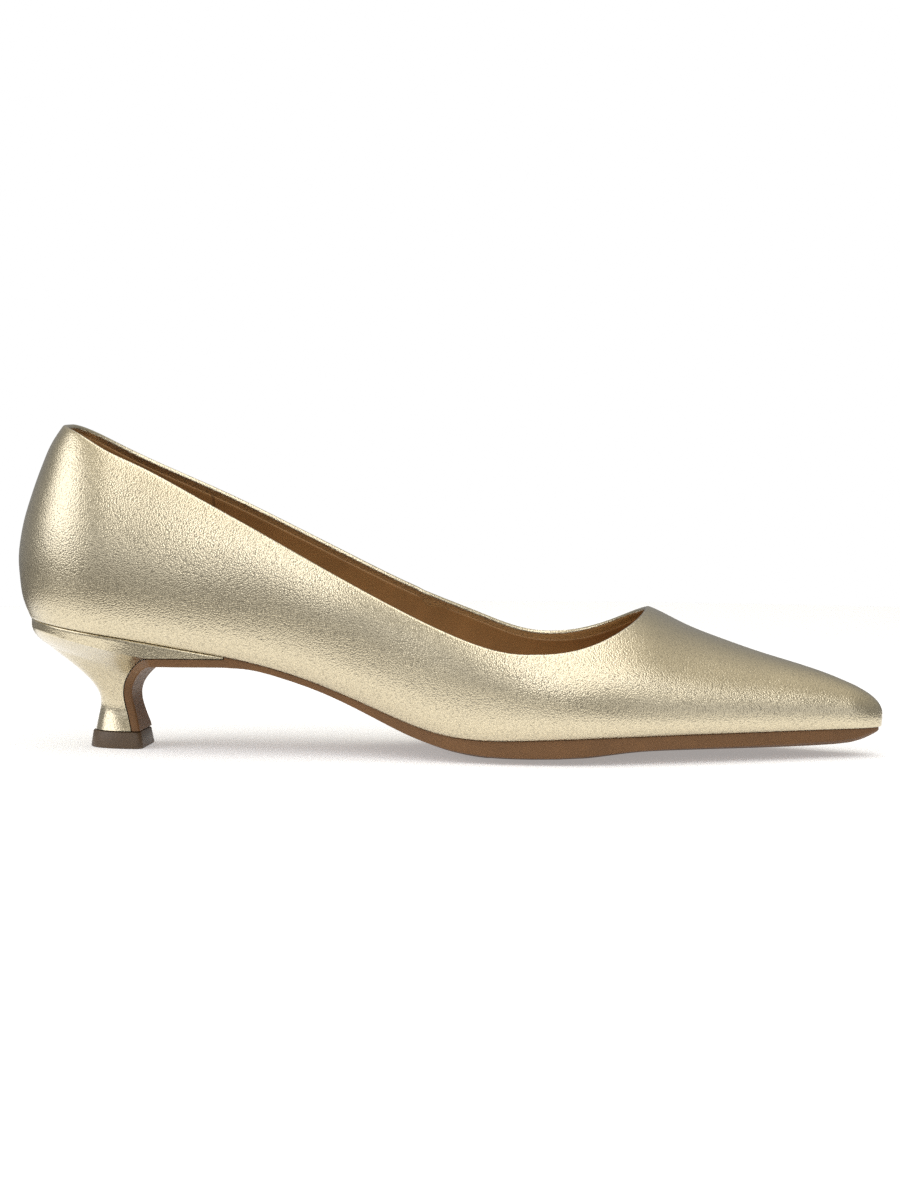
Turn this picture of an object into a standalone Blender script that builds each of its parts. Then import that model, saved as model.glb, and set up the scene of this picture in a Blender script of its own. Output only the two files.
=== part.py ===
"""Kitten heel pump: a pointed court shoe for the right foot on a low flared heel.

The shoe is modelled on its last. Along the length, every section comes from short tables whose
numbers are shares of a few named sizes. Inside this script x runs from the back of the heel to the
toe, the outer (lateral) side of the foot is at -y, and the floor is z = 0. An empty then carries
all the pieces to the middle of the length.
"""
import math

import bmesh
import bpy
import numpy as np
from mathutils import Vector

# Driving sizes of the last, in metres
LENGTH = 0.265
BALL_WIDTH = 0.076
HEEL_HEIGHT = 0.0405
BACK_HEIGHT = 0.0594
INSTEP_HEIGHT = 0.0442
VAMP_LENGTH = 0.0708
TOE_SPRING = 0.002
HEEL_ROUND = 0.034
NOSE_ROUND = 0.010
NOSE_TUCK = 0.0003
NOSE_TUCK_HEIGHT = 0.0030
BACK_CURVE_REACH = 0.062

# Topline: its lowest points over the floor on the two sides, and the length of the throat's arc
LOW_LATERAL = 0.0334
LOW_MEDIAL = 0.0346
THROAT_ARC = 0.033

# Thicknesses and clearance
WALL = 0.0020
INSOLE_THICKNESS = 0.0020
SOCK_ROUND = 0.0006
SOLE_EDGE = 0.0049
SHANK_SOLE = 0.0027
GAP = 0.0003

# Sole: lift of its edge over the floor, drop of its middle under that edge, inset and chamfer
EDGE_LIFT = 0.0021
SOLE_CROWN = 0.0027
SOLE_INSET = 0.0008
SOLE_CHAMFER = 0.0006

# Heel: front of its waist, back of its waist, front tip of the wings and their edge there
BREAST_X = 0.0336
WAIST_BACK_X = 0.0250
WING_TIP_X = 0.0682
WING_ROOT_X = 0.0455
WING_EDGE = 0.0005
HEEL_INSET = 0.0004
SEAT_BAND = 0.0022

# Top piece under the heel
TIP_HEIGHT = 0.0052
TIP_WIDTH = 0.0200
TIP_LENGTH = 0.0179
TIP_BACK_X = 0.0219
TIP_CORNER = 0.0022
TIP_CHAMFER = 0.0005
TIP_DRAFT = 0.0008

SIDES = (-1, 1)

# Where the upper meets what is under it (the feather line). along: share of LENGTH;
# lateral, medial: half widths as shares of BALL_WIDTH; climb: share of the rise from the ball to
# the heel seat; spring: share of TOE_SPRING.
FEATHER = (
    # along lateral medial climb spring
    (0.000, 0.362, 0.355, 1.000, 0.00),
    (0.075, 0.362, 0.355, 0.926, 0.00),
    (0.151, 0.362, 0.355, 0.842, 0.00),
    (0.208, 0.360, 0.340, 0.768, 0.00),
    (0.283, 0.344, 0.296, 0.655, 0.00),
    (0.358, 0.336, 0.255, 0.480, 0.00),
    (0.434, 0.366, 0.262, 0.242, 0.00),
    (0.509, 0.440, 0.345, 0.045, 0.03),
    (0.585, 0.494, 0.447, 0.000, 0.15),
    (0.642, 0.500, 0.498, 0.000, 0.45),
    (0.698, 0.467, 0.500, 0.000, 0.70),
    (0.755, 0.401, 0.462, 0.000, 0.85),
    (0.811, 0.322, 0.388, 0.000, 0.92),
    (0.868, 0.238, 0.297, 0.000, 0.96),
    (0.925, 0.153, 0.201, 0.000, 1.00),
    (0.966, 0.092, 0.133, 0.000, 1.00),
    (1.000, 0.047, 0.090, 0.000, 1.00),
)

# The skin over the last. over_lateral, over_medial: how far the widest line stands out over the
# feather line, as shares of BALL_WIDTH; belly: its height as a share of feather to crown; crown:
# height of the top of the section as a share of INSTEP_HEIGHT (over the opening it is only drawn,
# to give the walls their lean); shift: the crown's place towards the medial side, of BALL_WIDTH;
# fullness: how upright the wall stays over the belly, 2 for an ellipse and more for a squarer arch.
SKIN = (
    # along over_lateral over_medial belly crown shift fullness
    (0.000, 0.044, 0.044, 0.310, 2.620, 0.000, 2.00),
    (0.151, 0.046, 0.052, 0.245, 2.260, 0.010, 2.00),
    (0.302, 0.052, 0.090, 0.310, 1.890, 0.030, 2.10),
    (0.377, 0.052, 0.105, 0.315, 1.660, 0.045, 2.30),
    (0.453, 0.048, 0.098, 0.290, 1.430, 0.060, 2.60),
    (0.566, 0.038, 0.055, 0.250, 1.160, 0.078, 2.60),
    (0.660, 0.034, 0.036, 0.200, 1.058, 0.082, 2.15),
    (0.732, 0.032, 0.032, 0.170, 1.000, 0.080, 2.00),
    (0.770, 0.030, 0.030, 0.172, 0.893, 0.070, 2.00),
    (0.815, 0.026, 0.026, 0.190, 0.788, 0.060, 2.00),
    (0.860, 0.022, 0.022, 0.215, 0.698, 0.050, 2.00),
    (0.906, 0.018, 0.018, 0.240, 0.618, 0.040, 2.00),
    (0.951, 0.013, 0.013, 0.270, 0.525, 0.030, 2.00),
    (0.974, 0.012, 0.012, 0.290, 0.472, 0.024, 2.00),
    (1.000, 0.010, 0.010, 0.330, 0.445, 0.020, 2.00),
)

# Topline in side view. along: share of LENGTH; lateral, medial: shares of the rise from that
# side's low point to the top of the back.
TOPLINE = (
    # along lateral medial
    (0.056, 1.000, 1.000),
    (0.078, 0.972, 0.952),
    (0.113, 0.899, 0.877),
    (0.151, 0.830, 0.805),
    (0.226, 0.678, 0.671),
    (0.302, 0.516, 0.522),
    (0.377, 0.352, 0.370),
    (0.453, 0.197, 0.218),
    (0.528, 0.069, 0.086),
    (0.570, 0.024, 0.027),
    (0.608, 0.000, 0.000),
)

# Back of the upper in side view. rise: share of BACK_HEIGHT over the seat; lean: how far forward
# the back lies there, as a share of BACK_HEIGHT.
BACK = (
    # rise lean
    (0.00, 0.058),
    (0.10, 0.020),
    (0.20, 0.006),
    (0.30, 0.000),
    (0.40, 0.011),
    (0.50, 0.032),
    (0.60, 0.063),
    (0.70, 0.098),
    (0.80, 0.137),
    (0.90, 0.183),
    (1.00, 0.252),
)

# Sole's side. along: share of LENGTH; edge: its height as a share of SOLE_EDGE; crown: share of
# SOLE_CROWN.
SOLE = (
    # along edge crown
    (0.260, 0.71, 0.10),
    (0.283, 0.52, 0.15),
    (0.321, 0.47, 0.20),
    (0.377, 0.50, 0.25),
    (0.426, 0.64, 0.40),
    (0.464, 0.77, 0.70),
    (0.517, 0.86, 0.95),
    (0.555, 0.97, 1.00),
    (0.604, 1.09, 1.00),
    (0.645, 1.15, 1.00),
    (0.672, 1.12, 0.95),
    (0.721, 0.93, 0.85),
    (0.770, 0.87, 0.80),
    (0.860, 0.87, 0.65),
    (0.940, 0.80, 0.50),
    (0.974, 0.62, 0.40),
    (1.000, 0.22, 0.30),
)

# Front of the heel, from the wings' tip to the top piece: the line that the outsole follows.
# forward: share of the way from the breast to the wings' tip; height: share of the height of the
# wings' underside; spread: half width as a share of the width at the wings' root.
BREAST = (
    # forward height spread
    (1.000, 1.000, 1.000),
    (0.700, 1.000, 1.000),
    (0.520, 1.000, 1.000),
    (0.390, 1.000, 0.980),
    (0.290, 0.985, 0.880),
    (0.180, 0.915, 0.660),
    (0.070, 0.790, 0.430),
    (0.012, 0.660, 0.325),
    (0.000, 0.540, 0.280),
    (0.028, 0.375, 0.265),
    (0.075, 0.184, 0.335),
)

# Back of the heel. height: share of HEEL_HEIGHT; forward: share of WAIST_BACK_X.
HEEL_BACK = (
    # height forward
    (0.125, 0.935),
    (0.225, 0.970),
    (0.335, 1.000),
    (0.440, 0.960),
    (0.530, 0.845),
    (0.620, 0.680),
    (0.710, 0.490),
    (0.800, 0.318),
    (0.890, 0.200),
    (0.950, 0.158),
    (1.000, 0.150),
)


class Curve:
    """A smooth line through two columns of a table: a natural cubic spline."""

    def __init__(self, along, values):
        self.along = np.array(along, dtype=float)
        self.values = np.array(values, dtype=float)
        gaps = np.diff(self.along)
        slopes = np.diff(self.values) / gaps
        matrix = np.eye(len(self.along))
        change = np.zeros(len(self.along))
        for i in range(1, len(self.along) - 1):
            matrix[i, i - 1:i + 2] = gaps[i - 1], 2 * (gaps[i - 1] + gaps[i]), gaps[i]
            change[i] = 6 * (slopes[i] - slopes[i - 1])
        self.bend = np.linalg.solve(matrix, change)

    def __call__(self, place):
        place = min(max(place, self.along[0]), self.along[-1])
        i = min(int(np.searchsorted(self.along, place, side="right")), len(self.along) - 1) - 1
        gap = self.along[i + 1] - self.along[i]
        after = (place - self.along[i]) / gap
        before = 1 - after
        line = before * self.values[i] + after * self.values[i + 1]
        pull = (before ** 3 - before) * self.bend[i] + (after ** 3 - after) * self.bend[i + 1]
        return float(line + pull * gap * gap / 6)


def curves(rows):
    """One curve for each column after the first, which says how far along the row lies."""
    columns = list(zip(*rows))
    return [Curve(columns[0], column) for column in columns[1:]]


feather_lateral, feather_medial, climb, spring = curves(FEATHER)
over_lateral, over_medial, belly, crown_share, crown_shift, fullness = curves(SKIN)
topline_lateral, topline_medial = curves(TOPLINE)
back_lean, = curves(BACK)
sole_edge, sole_crown = curves(SOLE)
heel_back, = curves(HEEL_BACK)

BALL_TOP = EDGE_LIFT + SOLE_EDGE
BACK_TOP = HEEL_HEIGHT + BACK_HEIGHT
THROAT = (LENGTH - VAMP_LENGTH) / LENGTH
TOPLINE_LOW = THROAT - THROAT_ARC / LENGTH

# Shape numbers of the section: how soon the skin turns out from the feather line and turns up,
# how much of the nose's height is left at the very tip of the toe, and how square the throat is
# on the lateral and the medial side
TURN_OUT = 0.60
TURN_UP = 0.15
BELLY_PULL = 0.55
NOSE_FRONT = 0.35
THROAT_POWERS = {-1: 3.0, 1: 2.3}

# Steps along the feather line and the breast line over which their direction is taken
FEATHER_STEP = 0.004
BREAST_STEP = 0.002


def feather_height(along):
    """Height over the floor of the line where the upper starts."""
    return BALL_TOP + (HEEL_HEIGHT - BALL_TOP) * climb(along) + TOE_SPRING * spring(along)


def closing(along):
    """Share of the width that is left where the back and the nose close in round arcs."""
    reach = min(1.0, along * LENGTH / HEEL_ROUND, (1 - along) * LENGTH / NOSE_ROUND)
    return math.sqrt(max(0.0, 1 - (1 - reach) ** 2))


def crown_height(along):
    """Height of the section's top; the nose keeps a low front wall."""
    low = feather_height(along)
    high = crown_share(along) * INSTEP_HEIGHT
    nose = min(1.0, (1 - along) * LENGTH / NOSE_ROUND)
    kept = NOSE_FRONT + (1 - NOSE_FRONT) * math.sqrt(1 - (1 - nose) ** 2)
    return low + (high - low) * kept


def place_x(along, height):
    """Where a station lies along x at a height: the back of the shoe follows its own curve."""
    rise = (height - HEEL_HEIGHT) / BACK_HEIGHT
    fade = max(0.0, 1 - along * LENGTH / BACK_CURVE_REACH) ** 2
    nose = max(0.0, 1 - (1 - along) * LENGTH / NOSE_ROUND) ** 2
    under = max(0.0, 1 - (height - feather_height(along)) / NOSE_TUCK_HEIGHT) ** 2
    return along * LENGTH + back_lean(rise) * BACK_HEIGHT * fade - NOSE_TUCK * nose * under


def side_y(along, side, lateral, medial):
    """Place across, from the half widths of the two sides."""
    middle = (medial - lateral) / 2
    return middle + side * (medial + lateral) / 2 * closing(along)


def feather_point(along, side, inset=0.0, drop=0.0):
    """Point of the feather line, moved inwards in plan by inset and down by drop."""
    def plan(root):
        share = root * root if along < 0.5 else 1 - root * root
        where = side if root >= 0 else -side
        lateral = feather_lateral(share) * BALL_WIDTH
        medial = feather_medial(share) * BALL_WIDTH
        return Vector((place_x(share, feather_height(share)), side_y(share, where, lateral, medial)))

    root = math.sqrt(along if along < 0.5 else 1 - along)
    point = plan(root)
    run = plan(root + FEATHER_STEP) - plan(root - FEATHER_STEP)
    inward = Vector((run.y, -run.x)) * side * (1 if along < 0.5 else -1)
    point += inward.normalized() * inset
    return Vector((point.x, point.y, feather_height(along) - drop))


def section(along, side):
    """Edge, belly and crown of one side's section: three pairs of y and z."""
    lateral = feather_lateral(along) * BALL_WIDTH
    medial = feather_medial(along) * BALL_WIDTH
    low = feather_height(along)
    high = crown_height(along)
    edge = (side_y(along, side, lateral, medial), low)
    wide_lateral = lateral + over_lateral(along) * BALL_WIDTH
    wide_medial = medial + over_medial(along) * BALL_WIDTH
    widest = (side_y(along, side, wide_lateral, wide_medial), low + belly(along) * (high - low))
    middle = (wide_medial - wide_lateral) / 2
    shifted = crown_shift(along) * BALL_WIDTH
    crown = (middle + (shifted - middle) * closing(along), high)
    return edge, widest, crown


def bezier(share, first, second, third, fourth):
    rest = 1 - share
    return (rest ** 3 * first + 3 * rest * rest * share * second
            + 3 * rest * share * share * third + share ** 3 * fourth)


def skin_point(along, side, girth):
    """Point of the outer skin. girth: 0 at the feather line, 1 at the belly, 2 at the crown."""
    edge, widest, crown = section(along, side)
    if girth <= 1:
        out = widest[0] - edge[0]
        up = widest[1] - edge[1]
        y = bezier(girth, edge[0], edge[0] + TURN_OUT * out, widest[0], widest[0])
        z = bezier(girth, edge[1], edge[1] + TURN_UP * up, edge[1] + BELLY_PULL * up, widest[1])
    else:
        angle = (girth - 1) * math.pi / 2
        power = 2 / fullness(along)
        y = crown[0] + (widest[0] - crown[0]) * max(0.0, math.cos(angle)) ** power
        z = widest[1] + (crown[1] - widest[1]) * math.sin(angle) ** power
    return Vector((place_x(along, z), y, z))


def topline_height(x, side):
    """Height over the floor of the topline's edge in side view."""
    low = LOW_LATERAL if side < 0 else LOW_MEDIAL
    share = (topline_lateral if side < 0 else topline_medial)(x / LENGTH)
    return low + (BACK_TOP - low) * share - WALL / 2


# Tries to find the topline's height where the back leans, and the breast line's widest share
HEIGHT_TRIES = 12
ROOT_TRIES = 40


def topline_girth(along, side):
    """How far up the section the skin is cut off."""
    if along >= THROAT:
        return 2.0
    widest, crown = section(along, side)[1:]
    height = topline_height(along * LENGTH, side)
    for _ in range(HEIGHT_TRIES):
        height = topline_height(min(place_x(along, height), TOPLINE_LOW * LENGTH), side)
    square = fullness(along) / 2
    angle = math.asin(min(1.0, (height - widest[1]) / (crown[1] - widest[1])) ** square)
    if along > TOPLINE_LOW:
        reach = (along - TOPLINE_LOW) / (THROAT - TOPLINE_LOW)
        power = THROAT_POWERS[side]
        narrowing = (1 - reach ** power) ** (1 / power)
        angle = math.acos(math.cos(angle) * narrowing ** square)
    return 1 + angle * 2 / math.pi


# Steps between sections: round the back, to the wings' root, along the wings, along the waist,
# round the throat's arc, along the vamp and round the nose
BACK_STEPS = 8
SEAT_STEPS = 2
WING_STEPS = 3
WAIST_STEPS = 11
THROAT_STEPS = 9
VAMP_STEPS = 6
NOSE_STEPS = 6
# Closer sections just in front of the throat, as shares of the vamp
THROAT_FRONT = (0.03, 0.08, 0.15)


def spread(first, last, count):
    """count even steps from first to last, without first."""
    return [first + (last - first) * (i + 1) / count for i in range(count)]


def stations():
    """Places of the sections along the last: close together where the form turns fast."""
    back = HEEL_ROUND / LENGTH
    nose = 1 - NOSE_ROUND / LENGTH
    quarter = math.pi / 2
    places = [back * (1 - math.cos(quarter * i / BACK_STEPS)) for i in range(BACK_STEPS + 1)]
    places += spread(back, WING_ROOT_X / LENGTH, SEAT_STEPS)
    places += spread(WING_ROOT_X / LENGTH, WING_TIP_X / LENGTH, WING_STEPS)
    places += spread(WING_TIP_X / LENGTH, TOPLINE_LOW, WAIST_STEPS)
    arc = THROAT - TOPLINE_LOW
    places += [TOPLINE_LOW + arc * math.sin(quarter * i / THROAT_STEPS) ** (2 / THROAT_POWERS[-1])
               for i in range(1, THROAT_STEPS)]
    places.append(THROAT)
    places += [THROAT + (nose - THROAT) * share for share in THROAT_FRONT]
    places += spread(places[-1], nose, VAMP_STEPS)
    places += [nose + (1 - nose) * math.sin(quarter * i / NOSE_STEPS)
               for i in range(1, NOSE_STEPS + 1)]
    return places


PLACES = stations()
LAST_PLACE = len(PLACES) - 1
THROAT_PLACE = PLACES.index(THROAT)
WING_TIP_PLACE = PLACES.index(WING_TIP_X / LENGTH)
WING_ROOT_PLACE = PLACES.index(WING_ROOT_X / LENGTH)


def material(name, colour, roughness, metallic=0.0):
    made = bpy.data.materials.new(name)
    made.use_nodes = True
    shader = made.node_tree.nodes["Principled BSDF"]
    shader.inputs["Base Color"].default_value = (*colour, 1.0)
    shader.inputs["Roughness"].default_value = roughness
    shader.inputs["Metallic"].default_value = metallic
    return made


def add_piece(name, mesh_data, finish, parent, sharp_angle=40.0):
    """Closes up shared corners, turns the faces outwards and makes the named object."""
    merge_distance = 2e-6
    bmesh.ops.remove_doubles(mesh_data, verts=mesh_data.verts[:], dist=merge_distance)
    bmesh.ops.dissolve_degenerate(mesh_data, edges=mesh_data.edges[:], dist=merge_distance)
    bmesh.ops.recalc_face_normals(mesh_data, faces=mesh_data.faces[:])
    if mesh_data.calc_volume(signed=True) < 0:
        bmesh.ops.reverse_faces(mesh_data, faces=mesh_data.faces[:])
    mesh = bpy.data.meshes.new(name)
    mesh_data.to_mesh(mesh)
    mesh_data.free()
    mesh.shade_smooth()
    mesh.set_sharp_from_angle(angle=math.radians(sharp_angle))
    mesh.materials.append(finish)
    piece = bpy.data.objects.new(name, mesh)
    piece.parent = parent
    bpy.context.collection.objects.link(piece)
    return piece


def loft(rings, close_first=False, close_last=False):
    """Mesh through closed rings of equally many points, with flat ends where asked."""
    made = bmesh.new()
    rows = [[made.verts.new(point) for point in ring] for ring in rings]
    count = len(rows[0])
    for row, after in zip(rows, rows[1:]):
        for k in range(count):
            following = (k + 1) % count
            made.faces.new((row[k], row[following], after[following], after[k]))
    if close_first:
        made.faces.new(rows[0][::-1])
    if close_last:
        made.faces.new(rows[-1])
    return made


# Steps up each side of the upper: below the belly, above it, and round the turned edge
LOWER_STEPS = 4
UPPER_STEPS = 7
GIRTH_STEPS = LOWER_STEPS + UPPER_STEPS
EDGE_STEPS = 3


def upper_key(side, i, j):
    """The two sides share the back line, the nose line and the vamp's ridge."""
    shared = i in (0, LAST_PLACE) or (j == GIRTH_STEPS and i >= THROAT_PLACE)
    return (1 if shared else side, i, j)


def girth_at(along, side, j):
    if j <= LOWER_STEPS:
        return j / LOWER_STEPS
    return 1 + (topline_girth(along, side) - 1) * (j - LOWER_STEPS) / UPPER_STEPS


def upper_mesh():
    """Hollow shell: outer skin, inner skin, a flat rim underneath and a turned topline edge."""
    made = bmesh.new()
    outer = {}
    for side in SIDES:
        for i, along in enumerate(PLACES):
            for j in range(GIRTH_STEPS + 1):
                key = upper_key(side, i, j)
                if key not in outer:
                    outer[key] = made.verts.new(skin_point(along, key[0], girth_at(along, key[0], j)))

    def patches():
        for side in SIDES:
            for i in range(LAST_PLACE):
                for j in range(GIRTH_STEPS):
                    corners = [(i, j), (i + 1, j), (i + 1, j + 1), (i, j + 1)]
                    keys = [upper_key(side, *corner) for corner in corners]
                    yield keys if side < 0 else keys[::-1]

    for keys in patches():
        made.faces.new([outer[key] for key in keys])
    made.normal_update()

    inner = {}
    for key, vert in outer.items():
        side, i, j = key
        if j == 0:
            inner[key] = made.verts.new(feather_point(PLACES[i], side, WALL))
        else:
            inner[key] = made.verts.new(vert.co - vert.normal * WALL)
    for keys in patches():
        made.faces.new([inner[key] for key in reversed(keys)])

    rim = [upper_key(-1, i, 0) for i in range(LAST_PLACE)]
    rim += [upper_key(1, i, 0) for i in range(LAST_PLACE, 0, -1)]
    for key, following in zip(rim, rim[1:] + rim[:1]):
        made.faces.new((outer[key], outer[following], inner[following], inner[key]))

    top = GIRTH_STEPS
    edge = [upper_key(-1, i, top) for i in range(THROAT_PLACE)]
    edge += [upper_key(1, i, top) for i in range(THROAT_PLACE, 0, -1)]
    rows = []
    for side, i, j in edge:
        key = (side, i, j)
        below = (side, i, j - 1) if i < THROAT_PLACE else upper_key(side, i + 1, j)
        onward = (outer[key].co - outer[below].co).normalized()
        middle = (outer[key].co + inner[key].co) / 2
        across = outer[key].co - middle
        onward = (onward - onward.project(across)).normalized() * across.length
        row = [outer[key]]
        for step in range(1, EDGE_STEPS + 1):
            angle = math.pi * step / (EDGE_STEPS + 1)
            row.append(made.verts.new(middle + across * math.cos(angle) + onward * math.sin(angle)))
        rows.append(row + [inner[key]])
    for row, following in zip(rows, rows[1:] + rows[:1]):
        for k in range(EDGE_STEPS + 1):
            made.faces.new((row[k], following[k], following[k + 1], row[k + 1]))
    return made


# Underside of the sole across its width. across: share of the width; drop: share of the crown.
UNDERSIDE = (
    # across drop
    (0.10, 0.27),
    (0.18, 0.60),
    (0.27, 1.00),
    (0.50, 1.00),
    (0.73, 1.00),
    (0.82, 0.60),
    (0.90, 0.27),
)


def strap_ring(lateral, medial, down, thickness, crown=0.0):
    """Section through the sole: a flat top between two edges, and a chamfered underside."""
    width = max((medial - lateral).length, 1e-9)
    chamfer = min(0.5, SOLE_CHAMFER / width)
    ring = [lateral, lateral.lerp(medial, 0.5), medial, medial + down * (thickness - SOLE_CHAMFER)]
    for share, drop in ((chamfer, 0.0), *UNDERSIDE, (1 - chamfer, 0.0)):
        point = medial.lerp(lateral, share) + down * (thickness + crown * drop)
        point.z = max(0.0, point.z)
        ring.append(point)
    ring.append(lateral + down * (thickness - SOLE_CHAMFER))
    return ring


def breast_line():
    """Front of the heel as x, z and spread over the length of the line."""
    underside = feather_height(WING_TIP_X / LENGTH) - GAP - WING_EDGE
    xs = [BREAST_X + (WING_TIP_X - BREAST_X) * row[0] for row in BREAST]
    zs = [underside * row[1] for row in BREAST]
    zs[-1] = TIP_HEIGHT + GAP
    run = [0.0]
    for k in range(1, len(xs)):
        run.append(run[-1] + math.hypot(xs[k] - xs[k - 1], zs[k] - zs[k - 1]))
    shares = [length / run[-1] for length in run]
    spreads = [row[2] for row in BREAST]
    return [Curve(shares, values) for values in (xs, zs, spreads)]


breast_x, breast_z, breast_spread = breast_line()
BREAST_STEPS = 13


def breast_root():
    """Share of the breast line at which the wings start."""
    low, high = 0.0, 1.0
    for _ in range(ROOT_TRIES):
        share = (low + high) / 2
        low, high = (share, high) if breast_x(share) > WING_ROOT_X else (low, share)
        if breast_z(share) < HEEL_HEIGHT / 2:
            high = share
    return (low + high) / 2


BREAST_ROOT = breast_root()


def breast_half(share, side, inset):
    """Half width of the heel's front at a share of the breast line."""
    root = feather_point(WING_ROOT_X / LENGTH, side, inset).y
    if share <= BREAST_ROOT:
        return feather_point(breast_x(share) / LENGTH, side, inset).y
    fade = breast_spread(share) / breast_spread(BREAST_ROOT)
    return root * fade


def outsole_mesh():
    """One sole from the toe back under the wings and down the front of the heel."""
    down = Vector((0.0, 0.0, -1.0))
    rings = []
    for along in reversed(PLACES[WING_TIP_PLACE + 1:]):
        lateral = feather_point(along, -1, SOLE_INSET, GAP)
        medial = feather_point(along, 1, SOLE_INSET, GAP)
        thickness = sole_edge(along) * SOLE_EDGE - GAP
        crown = sole_crown(along) * SOLE_CROWN * closing(along)
        rings.append(strap_ring(lateral, medial, down, thickness, crown))
    step_x = WING_TIP_X + GAP
    along = step_x / LENGTH
    thickness = sole_edge(along) * SOLE_EDGE - GAP
    lateral = feather_point(along, -1, SOLE_INSET, GAP)
    medial = feather_point(along, 1, SOLE_INSET, GAP)
    rings.append(strap_ring(lateral, medial, down, thickness))
    drop = lateral.z - (breast_z(0.0) - GAP)
    rings.append(strap_ring(lateral + down * drop, medial + down * drop, down, thickness - drop))
    shares = spread(0.0, BREAST_ROOT, WING_STEPS) + spread(BREAST_ROOT, 1.0, BREAST_STEPS)
    for share in shares:
        before, after = share - BREAST_STEP, min(1.0, share + BREAST_STEP)
        run_x = breast_x(after) - breast_x(before)
        run_z = breast_z(after) - breast_z(before)
        length = math.hypot(run_x, run_z)
        away = Vector((-run_z / length, 0.0, run_x / length))
        if share == 1.0:
            away = Vector((1.0, 0.0, 0.0))
        edges = [Vector((breast_x(share), breast_half(share, side, SOLE_INSET), breast_z(share)))
                 for side in SIDES]
        lateral, medial = (edge + away * GAP for edge in edges)
        rings.append(strap_ring(lateral, medial, away, SHANK_SOLE - GAP))
    return loft(rings, close_last=True)


def insole_mesh():
    """Board and sock: the floor inside the upper."""
    rings = []
    for along in PLACES:
        inset = WALL + GAP
        lateral = feather_point(along, -1, inset)
        medial = feather_point(along, 1, inset)
        width = max((medial - lateral).length, 1e-9)
        round_in = min(0.5, SOCK_ROUND / width)
        up = Vector((0.0, 0.0, INSOLE_THICKNESS))
        shoulder = Vector((0.0, 0.0, INSOLE_THICKNESS - SOCK_ROUND))
        rings.append([lateral, lateral.lerp(medial, 0.5), medial, medial + shoulder,
                      medial.lerp(lateral, round_in) + up, medial.lerp(lateral, 0.5) + up,
                      medial.lerp(lateral, 1 - round_in) + up, lateral + shoulder])
    return loft(rings)


# Points round the back of the heel, how square its sections are, and over how many levels the
# seat's outline blends into the waist's
ROUND_STEPS = 18
ROUND_POWER = 2.3
BLEND_LEVELS = 4


def heel_mesh():
    """Seat with wings on top, waist below; the breast line closes its front."""
    made = bmesh.new()
    angles = [math.pi * (k / ROUND_STEPS - 0.5) for k in range(ROUND_STEPS + 1)]
    wing_places = PLACES[WING_ROOT_PLACE + 1:WING_TIP_PLACE + 1]
    root = WING_ROOT_X / LENGTH

    def seat_round(drop):
        ring = []
        for angle in angles:
            side = -1 if angle < 0 else 1
            ring.append(feather_point(root * (1 - math.cos(angle)), side, HEEL_INSET, drop))
        return ring

    def seat_wing(side, under):
        points = []
        for along in wing_places:
            point = feather_point(along, side, HEEL_INSET, GAP)
            if under:
                point.z = breast_z(0.0)
            points.append(made.verts.new(point))
        return points

    def waist_ring(share, weight):
        front = breast_x(share)
        front_z = breast_z(share)
        tip_z = TIP_HEIGHT + GAP
        under = feather_height(0.0) - GAP - SEAT_BAND
        back_z = tip_z + (front_z - tip_z) * (under - tip_z) / (breast_z(BREAST_ROOT) - tip_z)
        back = heel_back(back_z / HEEL_HEIGHT) * WAIST_BACK_X
        seat = seat_round(GAP)
        ring = []
        for angle, above in zip(angles, seat):
            side = -1 if angle < 0 else 1
            half = breast_half(share, side, HEEL_INSET)
            x = front - (front - back) * math.cos(angle) ** (2 / ROUND_POWER)
            y = half * abs(math.sin(angle)) ** (2 / ROUND_POWER)
            z = back_z + (front_z - back_z) * (1 - math.cos(angle))
            pull = weight * math.cos(angle)
            ring.append(Vector((x + (above.x - x) * pull, y + (above.y - y) * pull, z)))
        return ring

    top_round = [made.verts.new(point) for point in seat_round(GAP)]
    levels = [top_round]
    shares = [BREAST_ROOT] + spread(BREAST_ROOT, 1.0, BREAST_STEPS)
    for k, share in enumerate(shares):
        weight = max(0.0, 1 - k / BLEND_LEVELS)
        levels.append([made.verts.new(point) for point in waist_ring(share, weight)])
    for row, below in zip(levels, levels[1:]):
        for k in range(ROUND_STEPS):
            made.faces.new((row[k], row[k + 1], below[k + 1], below[k]))
    for row, below in zip(levels[1:], levels[2:]):
        made.faces.new((row[-1], row[0], below[0], below[-1]))
    made.faces.new(levels[-1])

    wings = {side: (seat_wing(side, False), seat_wing(side, True)) for side in SIDES}
    ends = {-1: 0, 1: -1}
    for side in SIDES:
        upper_row = [levels[0][ends[side]]] + wings[side][0]
        lower_row = [levels[1][ends[side]]] + wings[side][1]
        for k in range(len(wing_places)):
            made.faces.new((upper_row[k], upper_row[k + 1], lower_row[k + 1], lower_row[k]))
    tops = {side: [levels[0][ends[side]]] + wings[side][0] for side in SIDES}
    unders = {side: [levels[1][ends[side]]] + wings[side][1] for side in SIDES}
    for rows in (tops, unders):
        for k in range(len(wing_places)):
            made.faces.new((rows[-1][k], rows[-1][k + 1], rows[1][k + 1], rows[1][k]))
    made.faces.new((tops[-1][-1], tops[1][-1], unders[1][-1], unders[-1][-1]))
    half = ROUND_STEPS // 2
    for k in range(half - 1):
        made.faces.new((top_round[k], top_round[k + 1], top_round[-k - 2], top_round[-k - 1]))
    made.faces.new((top_round[half - 1], top_round[half], top_round[half + 1]))
    return made


# Points round the back of the top piece
TIP_STEPS = 12


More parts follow.
